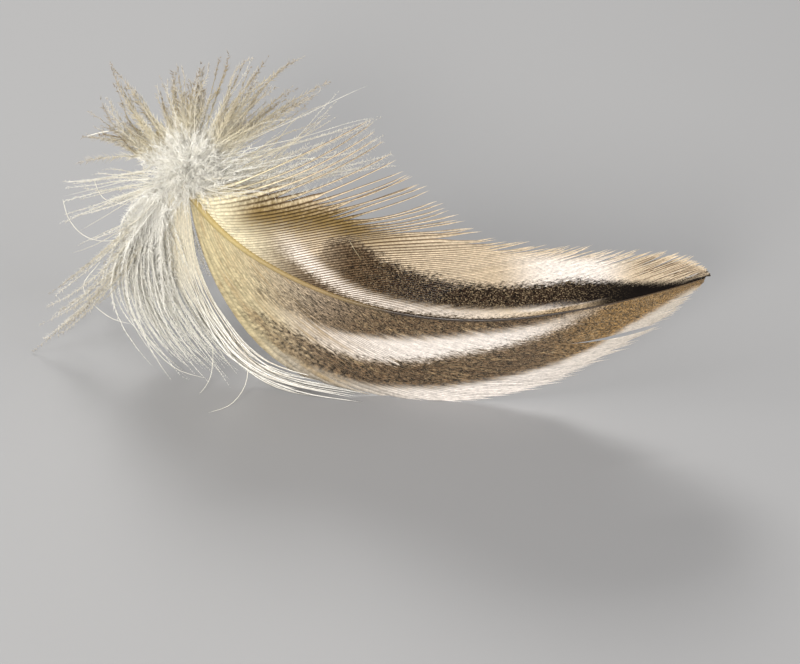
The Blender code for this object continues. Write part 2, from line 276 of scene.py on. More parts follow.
def lay_copies(blank, name, points, maps):
    """One mesh of many copies of the blank, whose points are given for each copy."""
    copies, corners = points.shape[:2]
    faces = sorted(lowest_first(face) for face in blank.data.polygons)
    loops = np.array([vert for face in faces for vert in face])
    sizes = np.array([len(face) for face in faces])
    starts = np.concatenate([[0], np.cumsum(sizes)[:-1]])
    number = np.arange(copies)[:, None]
    corner_vert = (loops[None] + corners * number).ravel()
    face_start = (starts[None] + len(loops) * number).ravel()
    mesh = bpy.data.meshes.new(name)
    mesh.vertices.add(copies * corners)
    mesh.vertices.foreach_set("co", (points * MM).astype(np.float32).ravel())
    mesh.loops.add(len(corner_vert))
    mesh.loops.foreach_set("vertex_index", corner_vert.astype(np.int32))
    mesh.polygons.add(copies * len(sizes))
    mesh.polygons.foreach_set("loop_start", face_start.astype(np.int32))
    mesh.update(calc_edges=True)
    mesh.validate()
    for map_name, values in maps.items():
        layer = mesh.uv_layers.new(name=map_name)
        layer.data.foreach_set("uv", values.reshape(-1, 2)[corner_vert].astype(np.float32).ravel())
    mesh.polygons.foreach_set("use_smooth", np.ones(len(mesh.polygons), bool))
    made = bpy.data.objects.new(name, mesh)
    bpy.context.collection.objects.link(made)
    bpy.data.objects.remove(blank)
    return made


def lay_needles(name, root, tip, radius, strand):
    """Fine closed needles from each root to each tip."""
    blank, step_at, across, over, _ = fibre(3, 1)
    heading = tip - root
    wide = unit(np.cross(heading, NEEDLE_SIDE)) * radius
    deep = unit(np.cross(heading, wide)) * radius
    points = (root[:, None] + heading[:, None] * step_at[None, :, None]
              + wide[:, None] * across[None, :, None] + deep[:, None] * over[None, :, None])
    points = np.clip(points, DOWN_LOW - DOWN_MARGIN, DOWN_HIGH + DOWN_MARGIN)
    points[..., 2] = np.maximum(points[..., 2], NEEDLE_LOWEST)
    return lay_copies(blank, name, points, {"strand": np.repeat(strand[:, None], len(step_at), axis=1)})


def join_into(name, made):
    deselect_all()
    for item in made:
        item.select_set(True)
    bpy.context.view_layer.objects.active = made[0]
    if len(made) > 1:
        bpy.ops.object.join()
    joined = bpy.context.object
    joined.name = name
    joined.data.name = name
    return joined


def paper_map(paper):
    return (paper - np.array(MAP_CORNER)) / MAP_SIDE


def make_vane(name, vane, chance):
    """Barbs side by side, knit together along their length and free at their ends."""
    rows = vane["barbs"]
    count = vane["count"]
    blank, _, across, proud_at, ring_of = fibre(BARB_SIDES, BARB_STEPS)
    order = np.arange(count) + 0.5
    where = even_places(order / count)
    length = 1 - chance.uniform(0, SHORTER_BY, count)
    along = np.linspace(0, 1, BARB_STEPS + 1)[None] * length[:, None]
    ahead = unit(barb_points(rows, where, along + PATH_STEP) - barb_points(rows, where, along - PATH_STEP))
    side = np.stack([-ahead[..., 1], ahead[..., 0]], -1)
    low = barb_points(rows, even_places((order - 0.5) / count), along)
    high = barb_points(rows, even_places((order + 0.5) / count), along)
    spacing = ((high - low) * side).sum(-1)
    side *= np.sign(spacing)[..., None]
    spacing = np.abs(spacing)

    knit = chance.uniform(-KNIT_JITTER, KNIT_JITTER, (count, 1))
    knit = read_rows(vane["knit"], where, 1)[:, None] + knit
    free = smooth(along, knit, knit + FREE_EASE)
    past = np.clip((along - knit) / np.maximum(1 - knit, 0.01), 0, 1)
    half = spacing * BARB_OVERLAP / 2
    half = half + (np.minimum(FREE_HALF_WIDTH, half) * (1 - FREE_TAPER * past) - half) * free

    lateral = np.zeros_like(along)
    for place, opens, width in vane["splits"]:
        away = where - place
        share = np.where(away > 0, 1, -1) * np.exp(-np.abs(away) / SPLIT_SPREAD)
        lateral += share[:, None] * smooth(along, opens, opens + SPLIT_OPENS_OVER) * width / 2
    number = 0
    while number < count:
        size = int(chance.integers(*BUNCH_SIZES))
        members = slice(number, min(number + size, count))
        to_middle = order[members].mean() - order[members]
        lateral[members] += to_middle[:, None] * spacing[members] * past[members] * vane["bunching"]
        number += size
    sway = chance.uniform(-1, 1, (count, 1))
    sway = sway * np.sin(past * math.pi * chance.uniform(*FREE_WAVES, (count, 1)))
    lateral += sway * free * FREE_SWAY
    centre = (low + high) / 2 + side * lateral[..., None]

    ridge = vane["ridge"]
    rise = ridge + (np.minimum(FREE_HALF_WIDTH, ridge) - ridge) * free
    lift = chance.uniform(-FREE_LIFT, FREE_LIFT, (count, 1)) * past
    paper = centre[:, ring_of] + side[:, ring_of] * (across[None] * half[:, ring_of])[..., None]
    proud = proud_at[None] * rise[:, ring_of] - across[None] * BARB_LEAN + lift[:, ring_of]
    points = bend(paper[..., 0], paper[..., 1], proud)
    points[..., 2] = np.maximum(points[..., 2], 0.0)
    lane = np.stack([(order[:, None] + across[None] * LANE_HALF) / count, along[:, ring_of]], -1)
    made = lay_copies(blank, name, points, {"paper": paper_map(paper), "barb": lane})
    made.data.set_sharp_from_angle(angle=math.radians(SHARP_ANGLE))
    barbs = {"where": where, "length": length, "centre": centre, "ahead": ahead, "lift": lift, "knit": knit}
    return made, barbs


# Barbules on the free ends of the far barbs nearest the root: the last such place along
# the shaft, how many a barb has, where they end along it, their lean in degrees, their
# length, by what share that varies, how much of it is lost towards the tip, how far they
# stand out, their radius, and how tan they are.
FRINGE_LAST_PLACE = 0.09
FRINGE_COUNT = 180
FRINGE_END = 0.98
FRINGE_LEAN = (18, 42)
FRINGE_LENGTH = 0.9
FRINGE_SHARES = (0.5, 1.2)
FRINGE_FALL = (1.2, 0.7)
FRINGE_PROUD = 0.35
FRINGE_RADIUS = 0.021
FRINGE_TAN = 0.45


def make_fringe(name, barbs, chance):
    """Fine barbules on the free ends of the barbs that grow nearest the root."""
    which = np.repeat(np.nonzero(barbs["where"] < FRINGE_LAST_PLACE)[0], FRINGE_COUNT)
    count = len(which)
    free_from = barbs["knit"][which, 0]
    along = free_from + (FRINGE_END - free_from) * chance.uniform(0, 1, count)
    ring = along / barbs["length"][which] * BARB_STEPS
    low = np.minimum(ring.astype(int), BARB_STEPS - 1)
    part = np.minimum(ring - low, 1.0)[:, None]
    centre = barbs["centre"][which, low] * (1 - part) + barbs["centre"][which, low + 1] * part
    lift = barbs["lift"][which, low] * (1 - part[:, 0]) + barbs["lift"][which, low + 1] * part[:, 0]
    lean = np.radians(chance.uniform(*FRINGE_LEAN, count)) * chance.choice([-1.0, 1.0], count)
    heading = turned(barbs["ahead"][which, low], lean)
    length = FRINGE_LENGTH * chance.uniform(*FRINGE_SHARES, count)
    length = length * (FRINGE_FALL[0] - FRINGE_FALL[1] * along)
    ends = centre + heading * length[:, None]
    root = bend(centre[:, 0], centre[:, 1], lift)
    tip = bend(ends[:, 0], ends[:, 1], lift + chance.normal(0, FRINGE_PROUD, count) * length)
    strand = np.stack([np.full(count, FRINGE_TAN), along], -1)
    return lay_needles(name, root, tip, FRINGE_RADIUS, strand)


# The strip of barbs beside the near vane: the lines of its right and its left edge, from
# the root down and along the floor, and the way its flat side looks.
STRIP_RIGHT = [
    (-29.8, 10.9, 24.6), (-30.1, 10.6, 18.5), (-29.9, 10.2, 13.8), (-28.5, 9.4, 8.0), (-25.9, 7.3, 3.8),
    (-21.6, 5.2, 1.6), (-13.0, 2.6, 0.2),
]
STRIP_LEFT = [
    (-31.8, 11.9, 24.4), (-33.4, 11.7, 17.2), (-32.9, 11.7, 11.5), (-31.0, 10.9, 6.0), (-27.3, 8.0, 2.1),
    (-21.5, 4.7, 0.5), (-14.4, 2.4, 0.1),
]
STRIP_FACE = (-0.2, -0.75, 0.6)
STRIP_COUNT = 30
STRIP_STEPS = 24
# One barb in so many is full length, and the others stop at a share of it.
STRIP_FULL_EVERY = 4
STRIP_REACH = (0.70, 0.97)
# Where the barbs part, how far they drift at first and along their way, their half width
# and how it tapers, and how far they stand out.
STRIP_PARTS = (0.30, 0.62)
STRIP_DRIFT = 0.32
STRIP_STRAY = 0.5
STRIP_FREE_HALF = 0.11
STRIP_TAPER = ((0, 0.8, 1), (1, 0.8, 0.25))
STRIP_RIDGE = 0.05


def make_strip(chance):
    """Barbs knit side by side at the root, which part lower down and run along the near edge."""
    blank, _, across, proud_at, ring_of = fibre(BARB_SIDES, STRIP_STEPS)
    share = (np.arange(STRIP_COUNT) + 0.5) / STRIP_COUNT
    reach = chance.uniform(*STRIP_REACH, STRIP_COUNT)
    reach[::STRIP_FULL_EVERY] = 1.0
    step = np.linspace(0, 1, STRIP_STEPS + 1)
    along = step[None] * reach[:, None]
    right = spline(STRIP_RIGHT, along)
    left = spline(STRIP_LEFT, along)
    loose = smooth(along, *STRIP_PARTS)
    drift = chance.normal(0, STRIP_DRIFT, (STRIP_COUNT, 1, 3))
    drift = drift + chance.normal(0, STRIP_STRAY, (STRIP_COUNT, 1, 3)) * along[..., None]
    path = right + (left - right) * share[:, None, None] + drift * loose[..., None] - ORIGIN
    ahead = unit(np.gradient(path, axis=1))
    side = unit(np.cross(ahead, STRIP_FACE))
    front = np.cross(side, ahead)
    knit_half = np.abs(((left - right) * side).sum(-1)) / STRIP_COUNT * BARB_OVERLAP / 2
    half = knit_half + (STRIP_FREE_HALF - knit_half) * loose
    half = half * np.interp(step, *STRIP_TAPER)[None]
    points = (path[:, ring_of] + side[:, ring_of] * (across[None] * half[:, ring_of])[..., None]
              + front[:, ring_of] * (proud_at * STRIP_RIDGE)[None, :, None])
    points[..., 2] = np.maximum(points[..., 2], 0.0)
    lane = np.stack([share[:, None] + across[None] * LANE_HALF / STRIP_COUNT, along[:, ring_of]], -1)
    return lay_copies(blank, "basal_strip", points, {"barb": lane})


# The shaft and, before it, the quill inside the down: points on the quill, how far the
# shaft stands out of the paper at its root and how much less at its tip, and its radius
# at some of its rings.
QUILL = [(-32.8, 17.6, 27.2), (-32.3, 15.2, 27.0), (-31.3, 12.6, 25.9)]
QUILL_RINGS = 10
SHAFT_RINGS = 50
SHAFT_SIDES = 8
SHAFT_PROUD = 0.14
SHAFT_PROUD_FALL = 0.05
SHAFT_RADIUS = ((0, 8, 12, 35, 60), (0.30, 0.42, 0.40, 0.24, 0.05))


def make_shaft():
    """The shaft, thick and round at its root and a fine line at its tip, and the quill."""
    rings = QUILL_RINGS + SHAFT_RINGS
    blank, _, across, proud_at, ring_of = fibre(SHAFT_SIDES, rings)
    where = np.linspace(0, 1, SHAFT_RINGS + 1)
    line = spline(SHAFT, where)
    path = bend(line[:, 0], line[:, 1], SHAFT_PROUD - SHAFT_PROUD_FALL * where)
    joint = [np.array(point) - ORIGIN for point in QUILL] + [path[0]]
    quill = spline(joint, np.linspace(0, 1, QUILL_RINGS + 1))[:-1]
    path = np.vstack([quill, path])
    radius = np.interp(np.arange(rings + 1), *SHAFT_RADIUS)
    ahead = unit(np.gradient(path, axis=0))
    side = unit(np.cross(ahead, [0.0, -1.0, 0.0]))
    over = np.cross(side, ahead)
    points = (path[ring_of] + (side[ring_of] * across[:, None] + over[ring_of] * proud_at[:, None])
              * radius[ring_of][:, None])[None]
    along = np.clip((ring_of - QUILL_RINGS) / SHAFT_RINGS, 0, 1)
    strand = np.stack([0.5 + 0.5 * across, along], -1)[None]
    return lay_copies(blank, "shaft", points, {"strand": strand})


# The down: fans of plumes. Each fan has the place it springs from, its first and last
# tip, the points its first and last plume bend towards, the number of plumes, the share
# of them that reach the tips, the length of their barbules, and how tan their ends are.
FANS = {
    "low_left": ((-31.9, 13.0, 22.8), (-51.2, 15.0, 0.1), (-47.5, 15.5, 9.0),
                 (-41.0, 14.0, 8.0), (-40.0, 14.0, 15.0), 26, 0.45, 1.1, 0.7),
    "left": ((-31.9, 13.0, 23.8), (-44.1, 14.0, 14.6), (-44.3, 17.0, 21.9),
             (-37.0, 13.0, 17.0), (-39.0, 15.0, 24.5), 18, 0.5, 0.7, 0.5),
    "high_left": ((-30.8, 13.5, 25.0), (-41.0, 20.0, 26.4), (-36.6, 20.0, 34.4),
                  (-36.0, 15.0, 26.0), (-34.5, 15.5, 31.0), 36, 0.5, 1.25, 1.0),
    "crown": ((-29.6, 13.6, 26.0), (-35.7, 20.0, 32.0), (-24.2, 20.0, 35.0),
              (-33.0, 15.5, 29.5), (-27.0, 15.5, 32.0), 48, 0.5, 1.35, 1.0),
    "crown_right": ((-28.0, 13.0, 26.0), (-22.5, 18.0, 35.2), (-14.6, 12.0, 34.4),
                    (-25.5, 14.5, 31.5), (-22.5, 12.5, 29.5), 54, 0.5, 1.15, 0.95),
    "shoulder": ((-27.4, 12.4, 25.0), (-14.6, 12.0, 33.6), (-8.8, 10.0, 31.8),
                 (-21.6, 13.0, 27.2), (-19.6, 12.0, 27.6), 16, 0.6, 0.5, 0.8),
    "lash": ((-28.6, 11.2, 24.2), (-13.0, 12.0, 33.0), (-7.0, 7.2, 27.0),
             (-21.0, 12.4, 24.6), (-20.0, 10.6, 23.6), 38, 0.5, 0.7, 0.6),
    "veil": ((-29.9, 10.9, 24.6), (-22.4, 10.3, 29.0), (-16.0, 7.6, 28.4),
             (-27.0, 10.6, 26.0), (-25.0, 9.6, 25.2), 30, 0.4, 0.8, 0.1),
    "over_base": ((-29.6, 10.6, 24.8), (-21.4, 7.2, 25.6), (-17.6, 5.2, 22.6),
                  (-25.6, 8.4, 25.6), (-24.0, 7.2, 24.2), 18, 0.6, 0.45, 0.5),
    "back_high": ((-30.8, 15.0, 25.0), (-38.0, 26.0, 20.0), (-24.0, 25.0, 23.0),
                  (-35.0, 20.0, 25.0), (-28.0, 20.0, 26.0), 44, 0.4, 1.4, 0.6),
    "back_low": ((-31.5, 14.5, 23.5), (-44.0, 24.0, 0.1), (-25.0, 24.0, 0.1),
                 (-39.0, 22.0, 14.0), (-28.0, 22.0, 14.0), 44, 0.4, 1.2, 0.3),
    "apron": ((-32.3, 12.0, 23.6), (-39.5, 14.0, 11.0), (-32.0, 11.2, 8.0),
              (-37.5, 13.2, 19.0), (-33.6, 11.8, 17.0), 84, 0.5, 1.3, 0.05),
    "skirt": ((-32.3, 12.2, 22.9), (-33.3, 9.1, 0.1), (-26.4, 6.8, 0.3),
              (-44.8, 16.0, 8.0), (-35.6, 13.8, 9.2), 120, 0.75, 1.0, 0.1),
}
# Fans whose plumes hang together in locks, the number of locks in each, how far plumes
# stray from the middle of their lock, and how loosely their tips lie.
LOCKS = {"high_left": 4, "crown": 5, "crown_right": 5}
LOCK_SPREAD = 0.13
LOCK_LOOSE = 0.5
DOWN_PIECES = {
    "down_left": ["low_left", "left", "high_left", "apron"],
    "down_crown": ["crown"],
    "down_right": ["crown_right", "shoulder", "lash", "veil", "over_base"],
    "down_back": ["back_high", "back_low"],
    "down_skirt": ["skirt"],
}
# Single long plumes that stand out from the fans, and smooth hairs: where their tips are.
SPIKES = [
    (-40.9, 19.1, 27.0), (-39.6, 17.8, 27.5), (-37.1, 20.4, 34.8), (-35.7, 20.3, 31.4), (-35.1, 19.3, 31.0),
    (-31.0, 20.7, 30.5), (-28.7, 19.5, 32.5), (-27.2, 20.2, 33.4), (-25.1, 20.1, 34.8), (-24.6, 19.8, 33.8),
    (-22.1, 18.9, 35.4), (-19.5, 18.5, 35.4), (-17.7, 16.8, 35.4), (-15.9, 17.7, 35.4), (-13.6, 14.3, 34.0),
    (-15.1, 13.4, 33.0), (-41.9, 16.8, 25.0),
]
HAIRS = [
    (-9.5, 12.1, 34.4), (-8.8, 10.9, 31.2), (-10.0, 10.2, 30.2), (-44.3, 17.0, 21.9), (-44.4, 16.8, 20.4),
    (-44.2, 14.0, 14.6), (-43.0, 14.5, 17.0),
]
SPIKE_ROOT = np.array([-29.4, 13.0, 25.6])
# How far off its root a plume starts, how far its start strays, how much of its tip's
# scatter its elbow takes and how far that strays; then the same strays for single plumes,
# and how these bow.
ROOT_SPREAD = 1.5
START_STRAY = 0.45
ELBOW_SHARE = 0.6
ELBOW_STRAY = 1.1
SPIKE_START_STRAY = 0.3
SPIKE_ELBOW_STRAY = 0.9
SPIKE_BOW = np.array([0.0, -0.6, 0.8])
# The length of their barbules, and how tan their ends are.
SPIKE_LOOKS = (1.3, 1.0)
HAIR_LOOKS = (0.3, 0.5)
# The plumes' share of the way to their tips, their radius, and by what shares the length
# of their barbules and the tan of their ends vary.
LONG_REACH = (0.82, 1.0)
SHORT_REACH = (0.35, 0.72)
PLUME_RADIUS = (0.045, 0.075)
HAIR_SHARES = (0.7, 1.25)
TAN_SHARES = (0.5, 1.0)
SPIKE_RADIUS = (0.05, 0.08)
SPIKE_HAIR_SHARES = (0.7, 1.2)
SPIKE_TAN_SHARES = (0.6, 1.0)
# A plume's sideways waves: how many, and how wide.
WAVE_TURNS = (0.5, 1.3)
WAVE_SWAY = (0.3, 1.1)
# The core: short plumes all round the root, from a ball a quarter of its size outwards.
CORE_CENTRE = np.array([-29.6, 11.9, 25.5])
CORE_SIZE = np.array([4.0, 3.4, 3.6])
CORE_COUNT = 460
CORE_PULL = np.array([0.15, 0.0, 0.45])
CORE_START = 0.25
CORE_REACH = (0.75, 1.5)
CORE_STRAY = 0.6
CORE_RADIUS = (0.035, 0.05)
CORE_HAIR = (1.1, 2.0)
CORE_TAN = (0.0, 0.12)
# Barbules: the gap between two along a plume, their radius, their least and greatest lean
# in degrees, and how much shorter they grow from the root to the tip of a plume.
BARBULES = {"gap": 0.15, "radius": 0.030, "lean": (24, 54), "fall": 0.75}
SKIRT_BARBULES = {"gap": 0.115, "radius": 0.030, "lean": (16, 46), "fall": 1.12}
SPIKE_BARBULES = {"gap": 0.15, "radius": 0.034, "lean": (22, 50), "fall": 0.7}
HAIR_BARBULES = {"gap": 0.5, "radius": 0.025, "lean": (10, 30), "fall": 0.8}
CORE_BARBULES = {"gap": 0.15, "radius": 0.020, "lean": (12, 42), "fall": 0.75}
# All barbules: the least number on a plume, the stretch of it that they grow on and how
# unevenly, what share is lost towards the tip, how they turn round the plume, how much
# more they lean and how much thicker they are at the tip, and their lengths.
BARBULES_LEAST = 8
BARBULE_START = 0.04
BARBULE_STRETCH = 0.95
BARBULE_ENDS = (0.02, 0.995)
BARBULE_JITTER = 0.8
BARBULE_LOSS = 0.6
BARBULE_TWIST = 2.5
BARBULE_TWIST_STRAY = 0.45
BARBULE_LEAN_MORE = 10
BARBULE_WIDTH = (0.75, 1.0)
BARBULE_LONGEST = 1.15
BARBULE_SHORTEST = 0.05
BARBULE_SHARES = (0.45, 1.25)
PLUME_SIDES = 3
PLUME_STEPS = 10
PLUME_PATH_STEP = 0.02
PLUME_TAPER = 0.72
PLUME_BOW = 1.05
NEEDLE_SIDE = (0.31, 0.17, 0.94)
NEEDLE_LOWEST = 0.02
# The down stays inside these corners, in the part's frame.
DOWN_LOW = np.array([-38.2, -18.2, 0.08])
DOWN_HIGH = np.array([38.2, 18.2, 35.9])
DOWN_MARGIN = 0.45


class Plumes:
    """Many plumes at once: each runs from its start towards its elbow and on to its tip."""

    def __init__(self, start, elbow, tip, reach, radius, hair, tan, chance):
        self.start = start
        self.elbow = elbow
        self.tip = tip
        self.reach = reach
        self.radius = radius
        self.hair = hair
        self.tan = tan
        count = len(reach)
        self.wave = chance.normal(0, 1, (count, 3))
        self.phase = chance.uniform(0, TURN, count)
        self.turns = chance.uniform(*WAVE_TURNS, count)
        self.facing = unit(chance.normal(0, 1, (count, 3)))
        self.sway = chance.uniform(*WAVE_SWAY, count)

    def place(self, which, along):
        t = (along * self.reach[which])[:, None]
        rest = 1 - t
        path = (self.start[which] * rest ** 2 + self.elbow[which] * 2 * rest * t + self.tip[which] * t ** 2)
        swing = np.sin(self.phase[which] + self.turns[which] * along * TURN) - np.sin(self.phase[which])
        path = path + self.wave[which] * (self.sway[which] * along * swing * 0.5)[:, None]
        return np.clip(path, DOWN_LOW, DOWN_HIGH)

    def frame(self, which, along):
        behind = self.place(which, along - PLUME_PATH_STEP)
        ahead = unit(self.place(which, along + PLUME_PATH_STEP) - behind)
        facing = self.facing[which]
        side = unit(facing - ahead * (facing * ahead).sum(-1, keepdims=True))
        return ahead, side, np.cross(ahead, side)


def fan_plumes(names, chance):
    """The plumes of some fans: a share reach the fan's own tips and the rest stop short."""
    rows = []
    for name in names:
        root, first_tip, last_tip, first_elbow, last_elbow, count, long_share, hair, tan = (
            np.array(value) for value in FANS[name])
        for number in range(count):
            share = chance.uniform(0, 1)
            loose = 1.0
            if name in LOCKS:
                lock = math.floor(share * LOCKS[name]) + 0.5
                share = (lock + chance.normal(0, LOCK_SPREAD)) / LOCKS[name]
                loose = LOCK_LOOSE
            is_long = chance.uniform(0, 1) < long_share
            reach = chance.uniform(*(LONG_REACH if is_long else SHORT_REACH))
            if number < 2:
                share = float(number)
                loose = 0.0
                reach = 1.0
            scatter = chance.normal(0, loose, 3)
            tip = first_tip + (last_tip - first_tip) * share
            elbow = first_elbow + (last_elbow - first_elbow) * share
            on_floor = tip[2] < 1.0
            tip = tip + scatter * np.array([1, 1, 0.0 if on_floor else 1.0])
            elbow = elbow + scatter * ELBOW_SHARE + chance.normal(0, loose * ELBOW_STRAY, 3)
            start = root + unit(elbow - root) * ROOT_SPREAD + chance.normal(0, START_STRAY, 3)
            radius = chance.uniform(*PLUME_RADIUS)
            looks = (radius, hair * chance.uniform(*HAIR_SHARES), tan * chance.uniform(*TAN_SHARES))
            rows.append((start - ORIGIN, elbow - ORIGIN, tip - ORIGIN, reach, *looks))
    return Plumes(*[np.array(column) for column in zip(*rows)], chance)


def spike_plumes(tips, hair, tan, chance):
    """Single plumes that reach given tips, each a little bowed."""
    tips = np.array(tips)
    count = len(tips)
    start = SPIKE_ROOT + unit(tips - SPIKE_ROOT) * ROOT_SPREAD
    start = start + chance.normal(0, SPIKE_START_STRAY, (count, 3))
    elbow = start * 0.5 + tips * 0.5 + chance.normal(0, SPIKE_ELBOW_STRAY, (count, 3)) + SPIKE_BOW
    radius = chance.uniform(*SPIKE_RADIUS, count)
    hair = hair * chance.uniform(*SPIKE_HAIR_SHARES, count)
    tan = tan * chance.uniform(*SPIKE_TAN_SHARES, count)
    return Plumes(start - ORIGIN, elbow - ORIGIN, tips - ORIGIN, np.ones(count), radius, hair, tan, chance)


def core_plumes(chance):
    """Short plumes all round the root, which make the dense pale middle of the down."""
    heading = unit(chance.normal(0, 1, (CORE_COUNT, 3)) + CORE_PULL)
    middle = CORE_CENTRE - ORIGIN
    start = middle + heading * CORE_SIZE * CORE_START
    tip = middle + heading * CORE_SIZE * chance.uniform(*CORE_REACH, (CORE_COUNT, 1))
    elbow = (start + tip) / 2 + chance.normal(0, CORE_STRAY, (CORE_COUNT, 3))
    radius = chance.uniform(*CORE_RADIUS, CORE_COUNT)
    hair = chance.uniform(*CORE_HAIR, CORE_COUNT)
    tan = chance.uniform(*CORE_TAN, CORE_COUNT)
    return Plumes(start, elbow, tip, np.ones(CORE_COUNT), radius, hair, tan, chance)


def make_down(name, plumes, barbules, chance):
    """One piece of down: a fine tapered shaft for each plume, and its barbules."""
    count = len(plumes.reach)
    blank, step_at, across, over, _ = fibre(PLUME_SIDES, PLUME_STEPS)
    which = np.repeat(np.arange(count), len(step_at))
    along = np.tile(step_at, count)
    ahead, side, cross = plumes.frame(which, along)
    radius = plumes.radius[which] * (1 - PLUME_TAPER * along)
    out = side * np.tile(across, count)[:, None] + cross * np.tile(over, count)[:, None]
    points = plumes.place(which, along) + out * radius[:, None]
    strand = np.stack([plumes.tan[which], along], -1)
    shafts = lay_copies(blank, name, points.reshape(count, -1, 3), {"strand": strand})

    lengths = np.linalg.norm(plumes.tip - plumes.start, axis=1) * PLUME_BOW * plumes.reach
    amount = np.maximum((lengths / barbules["gap"] * 2).astype(int), BARBULES_LEAST)
    which = np.repeat(np.arange(count), amount)
    order = np.concatenate([np.arange(number) for number in amount])
    jitter = chance.uniform(-BARBULE_JITTER, BARBULE_JITTER, len(order))
    along = np.clip(BARBULE_START + BARBULE_STRETCH * (order + jitter) / amount[which], *BARBULE_ENDS)
    kept = chance.uniform(0, 1, len(order)) < 1 - BARBULE_LOSS * along
    which, order, along = which[kept], order[kept], along[kept]
    count = len(order)
    ahead, side, cross = plumes.frame(which, along)
    turn = np.where(order % 2, 0.0, math.pi) + chance.normal(0, BARBULE_TWIST_STRAY, count)
    turn = turn + along * BARBULE_TWIST
    lean = np.radians(chance.uniform(*barbules["lean"], count) + BARBULE_LEAN_MORE * along)
    out = side * np.cos(turn)[:, None] + cross * np.sin(turn)[:, None]
    heading = ahead * np.cos(lean)[:, None] + out * np.sin(lean)[:, None]
    share = np.maximum(BARBULE_LONGEST - barbules["fall"] * along, BARBULE_SHORTEST)
    length = plumes.hair[which] * share * chance.uniform(*BARBULE_SHARES, count)
    root = plumes.place(which, along)
    strand = np.stack([plumes.tan[which], along], -1)
    width = (barbules["radius"] * (BARBULE_WIDTH[0] + BARBULE_WIDTH[1] * along))[:, None]
    needles = lay_needles(name + "_barbules", root, root + heading * length[:, None], width, strand)
    return join_into(name, [shafts, needles])


# Curled hairs beside the strip and left of the down: five points on each.
CURLS = [
    ((-26.5, 8.3, 4.5), (-25.9, 7.1, 2.6), (-26.4, 5.1, 0.8), (-28.1, 2.9, 0.1), (-30.7, 1.8, 0.1)),
    ((-31.0, 9.4, 5.5), (-29.8, 9.0, 3.6), (-30.1, 7.6, 1.2), (-30.8, 6.3, 0.3), (-31.7, 5.0, 0.1)),
    ((-41.6, 16.6, 11.0), (-43.8, 16.0, 8.6), (-43.3, 14.9, 7.0), (-41.2, 13.5, 5.4), (-38.6, 12.8, 4.6)),
    ((-39.1, 14.0, 8.8), (-38.5, 12.8, 6.0), (-36.9, 11.2, 2.8), (-34.2, 9.2, 0.6), (-30.5, 7.5, 0.1)),
    ((-27.5, 8.6, 5.8), (-26.7, 7.9, 3.4), (-25.6, 6.5, 1.2), (-22.0, 4.4, 0.2), (-18.6, 3.1, 0.1)),
    ((-44.2, 16.0, 20.5), (-43.9, 15.5, 18.2), (-42.7, 15.0, 16.3), (-40.9, 14.5, 15.6), (-38.6, 14.0, 15.8)),
    ((-40.4, 16.0, 22.8), (-40.1, 15.5, 21.6), (-39.4, 15.0, 20.7), (-38.0, 14.5, 20.5), (-36.5, 14.0, 20.3)),
    ((-40.6, 18.0, 27.2), (-38.7, 17.5, 27.9), (-36.9, 17.0, 28.2), (-35.5, 16.5, 28.1), (-33.9, 15.5, 27.6)),
]
CURL_HALF_WIDTH = 0.048
CURL_TAN = 0.25
# Pale threads that lie on the vanes: from and to, on the paper, and how they bow and rise.
THREADS = [
    ((-31.6, 14.8), (-24.9, 6.9)), ((-21.4, 16.8), (-19.9, 15.1)),
    ((-15.6, 24.7), (-14.2, 23.0)), ((-19.1, 27.8), (-16.3, 27.0)),
]
THREAD_HALF_WIDTH = 0.022
THREAD_TAN = 1.0
THREAD_BOW = 0.25
THREAD_RISE = (0.15, 0.35, 0.4, 0.3, 0.2)
# How both kinds taper, and their place on the down's colours: at the root and how much on.
LOOSE_TAPER = ((0, 0.15, 0.75, 1), (0.6, 1, 0.8, 0.3))
LOOSE_STRAND = (0.35, 0.4)


def make_loose_barbs():
    """Curled hairs beside the strip and the down, and threads that lie on the vanes."""
    curls = np.array(CURLS) - ORIGIN
    start = np.array([line[0] for line in THREADS])
    end = np.array([line[1] for line in THREADS])
    share = np.linspace(0, 1, len(THREAD_RISE))[None, :, None]
    line = start[:, None] + (end - start)[:, None] * share
    rise = np.array(THREAD_RISE)[None] + 0 * line[..., 0]
    threads = bend(line[..., 0] + THREAD_BOW * np.sin(share[..., 0] * math.pi), line[..., 1], rise)
    paths = np.concatenate([curls, threads])
    is_curl = np.arange(len(paths)) < len(curls)
    half_widths = np.where(is_curl, CURL_HALF_WIDTH, THREAD_HALF_WIDTH)[:, None, None]
    blank, step_at, across, over, _ = fibre(BARB_SIDES, BARB_STEPS)
    place = np.array([spline(path, step_at) for path in paths])
    beyond = np.array([spline(path, step_at + PATH_STEP) for path in paths])
    behind = np.array([spline(path, step_at - PATH_STEP) for path in paths])
    ahead = unit(beyond - behind)
    side = unit(np.cross(ahead, [0.0, 0.4, 1.0]))
    up = np.cross(side, ahead)
    taper = np.interp(step_at, *LOOSE_TAPER)
    out = side * (across * taper)[None, :, None] + up * (over * taper)[None, :, None]
    points = place + out * half_widths
    points[..., 2] = np.maximum(points[..., 2], 0.0)
    tan = np.where(is_curl, CURL_TAN, THREAD_TAN)[:, None]
    tone = LOOSE_STRAND[0] + step_at * LOOSE_STRAND[1]
    strand = np.stack([np.repeat(tan, len(step_at), 1), np.tile(tone, (len(paths), 1))], -1)
    return lay_copies(blank, "loose_barbs", points, {"strand": strand})


# How far apart the nodes of a tree are laid out.
NODE_STEP = (40, -25)


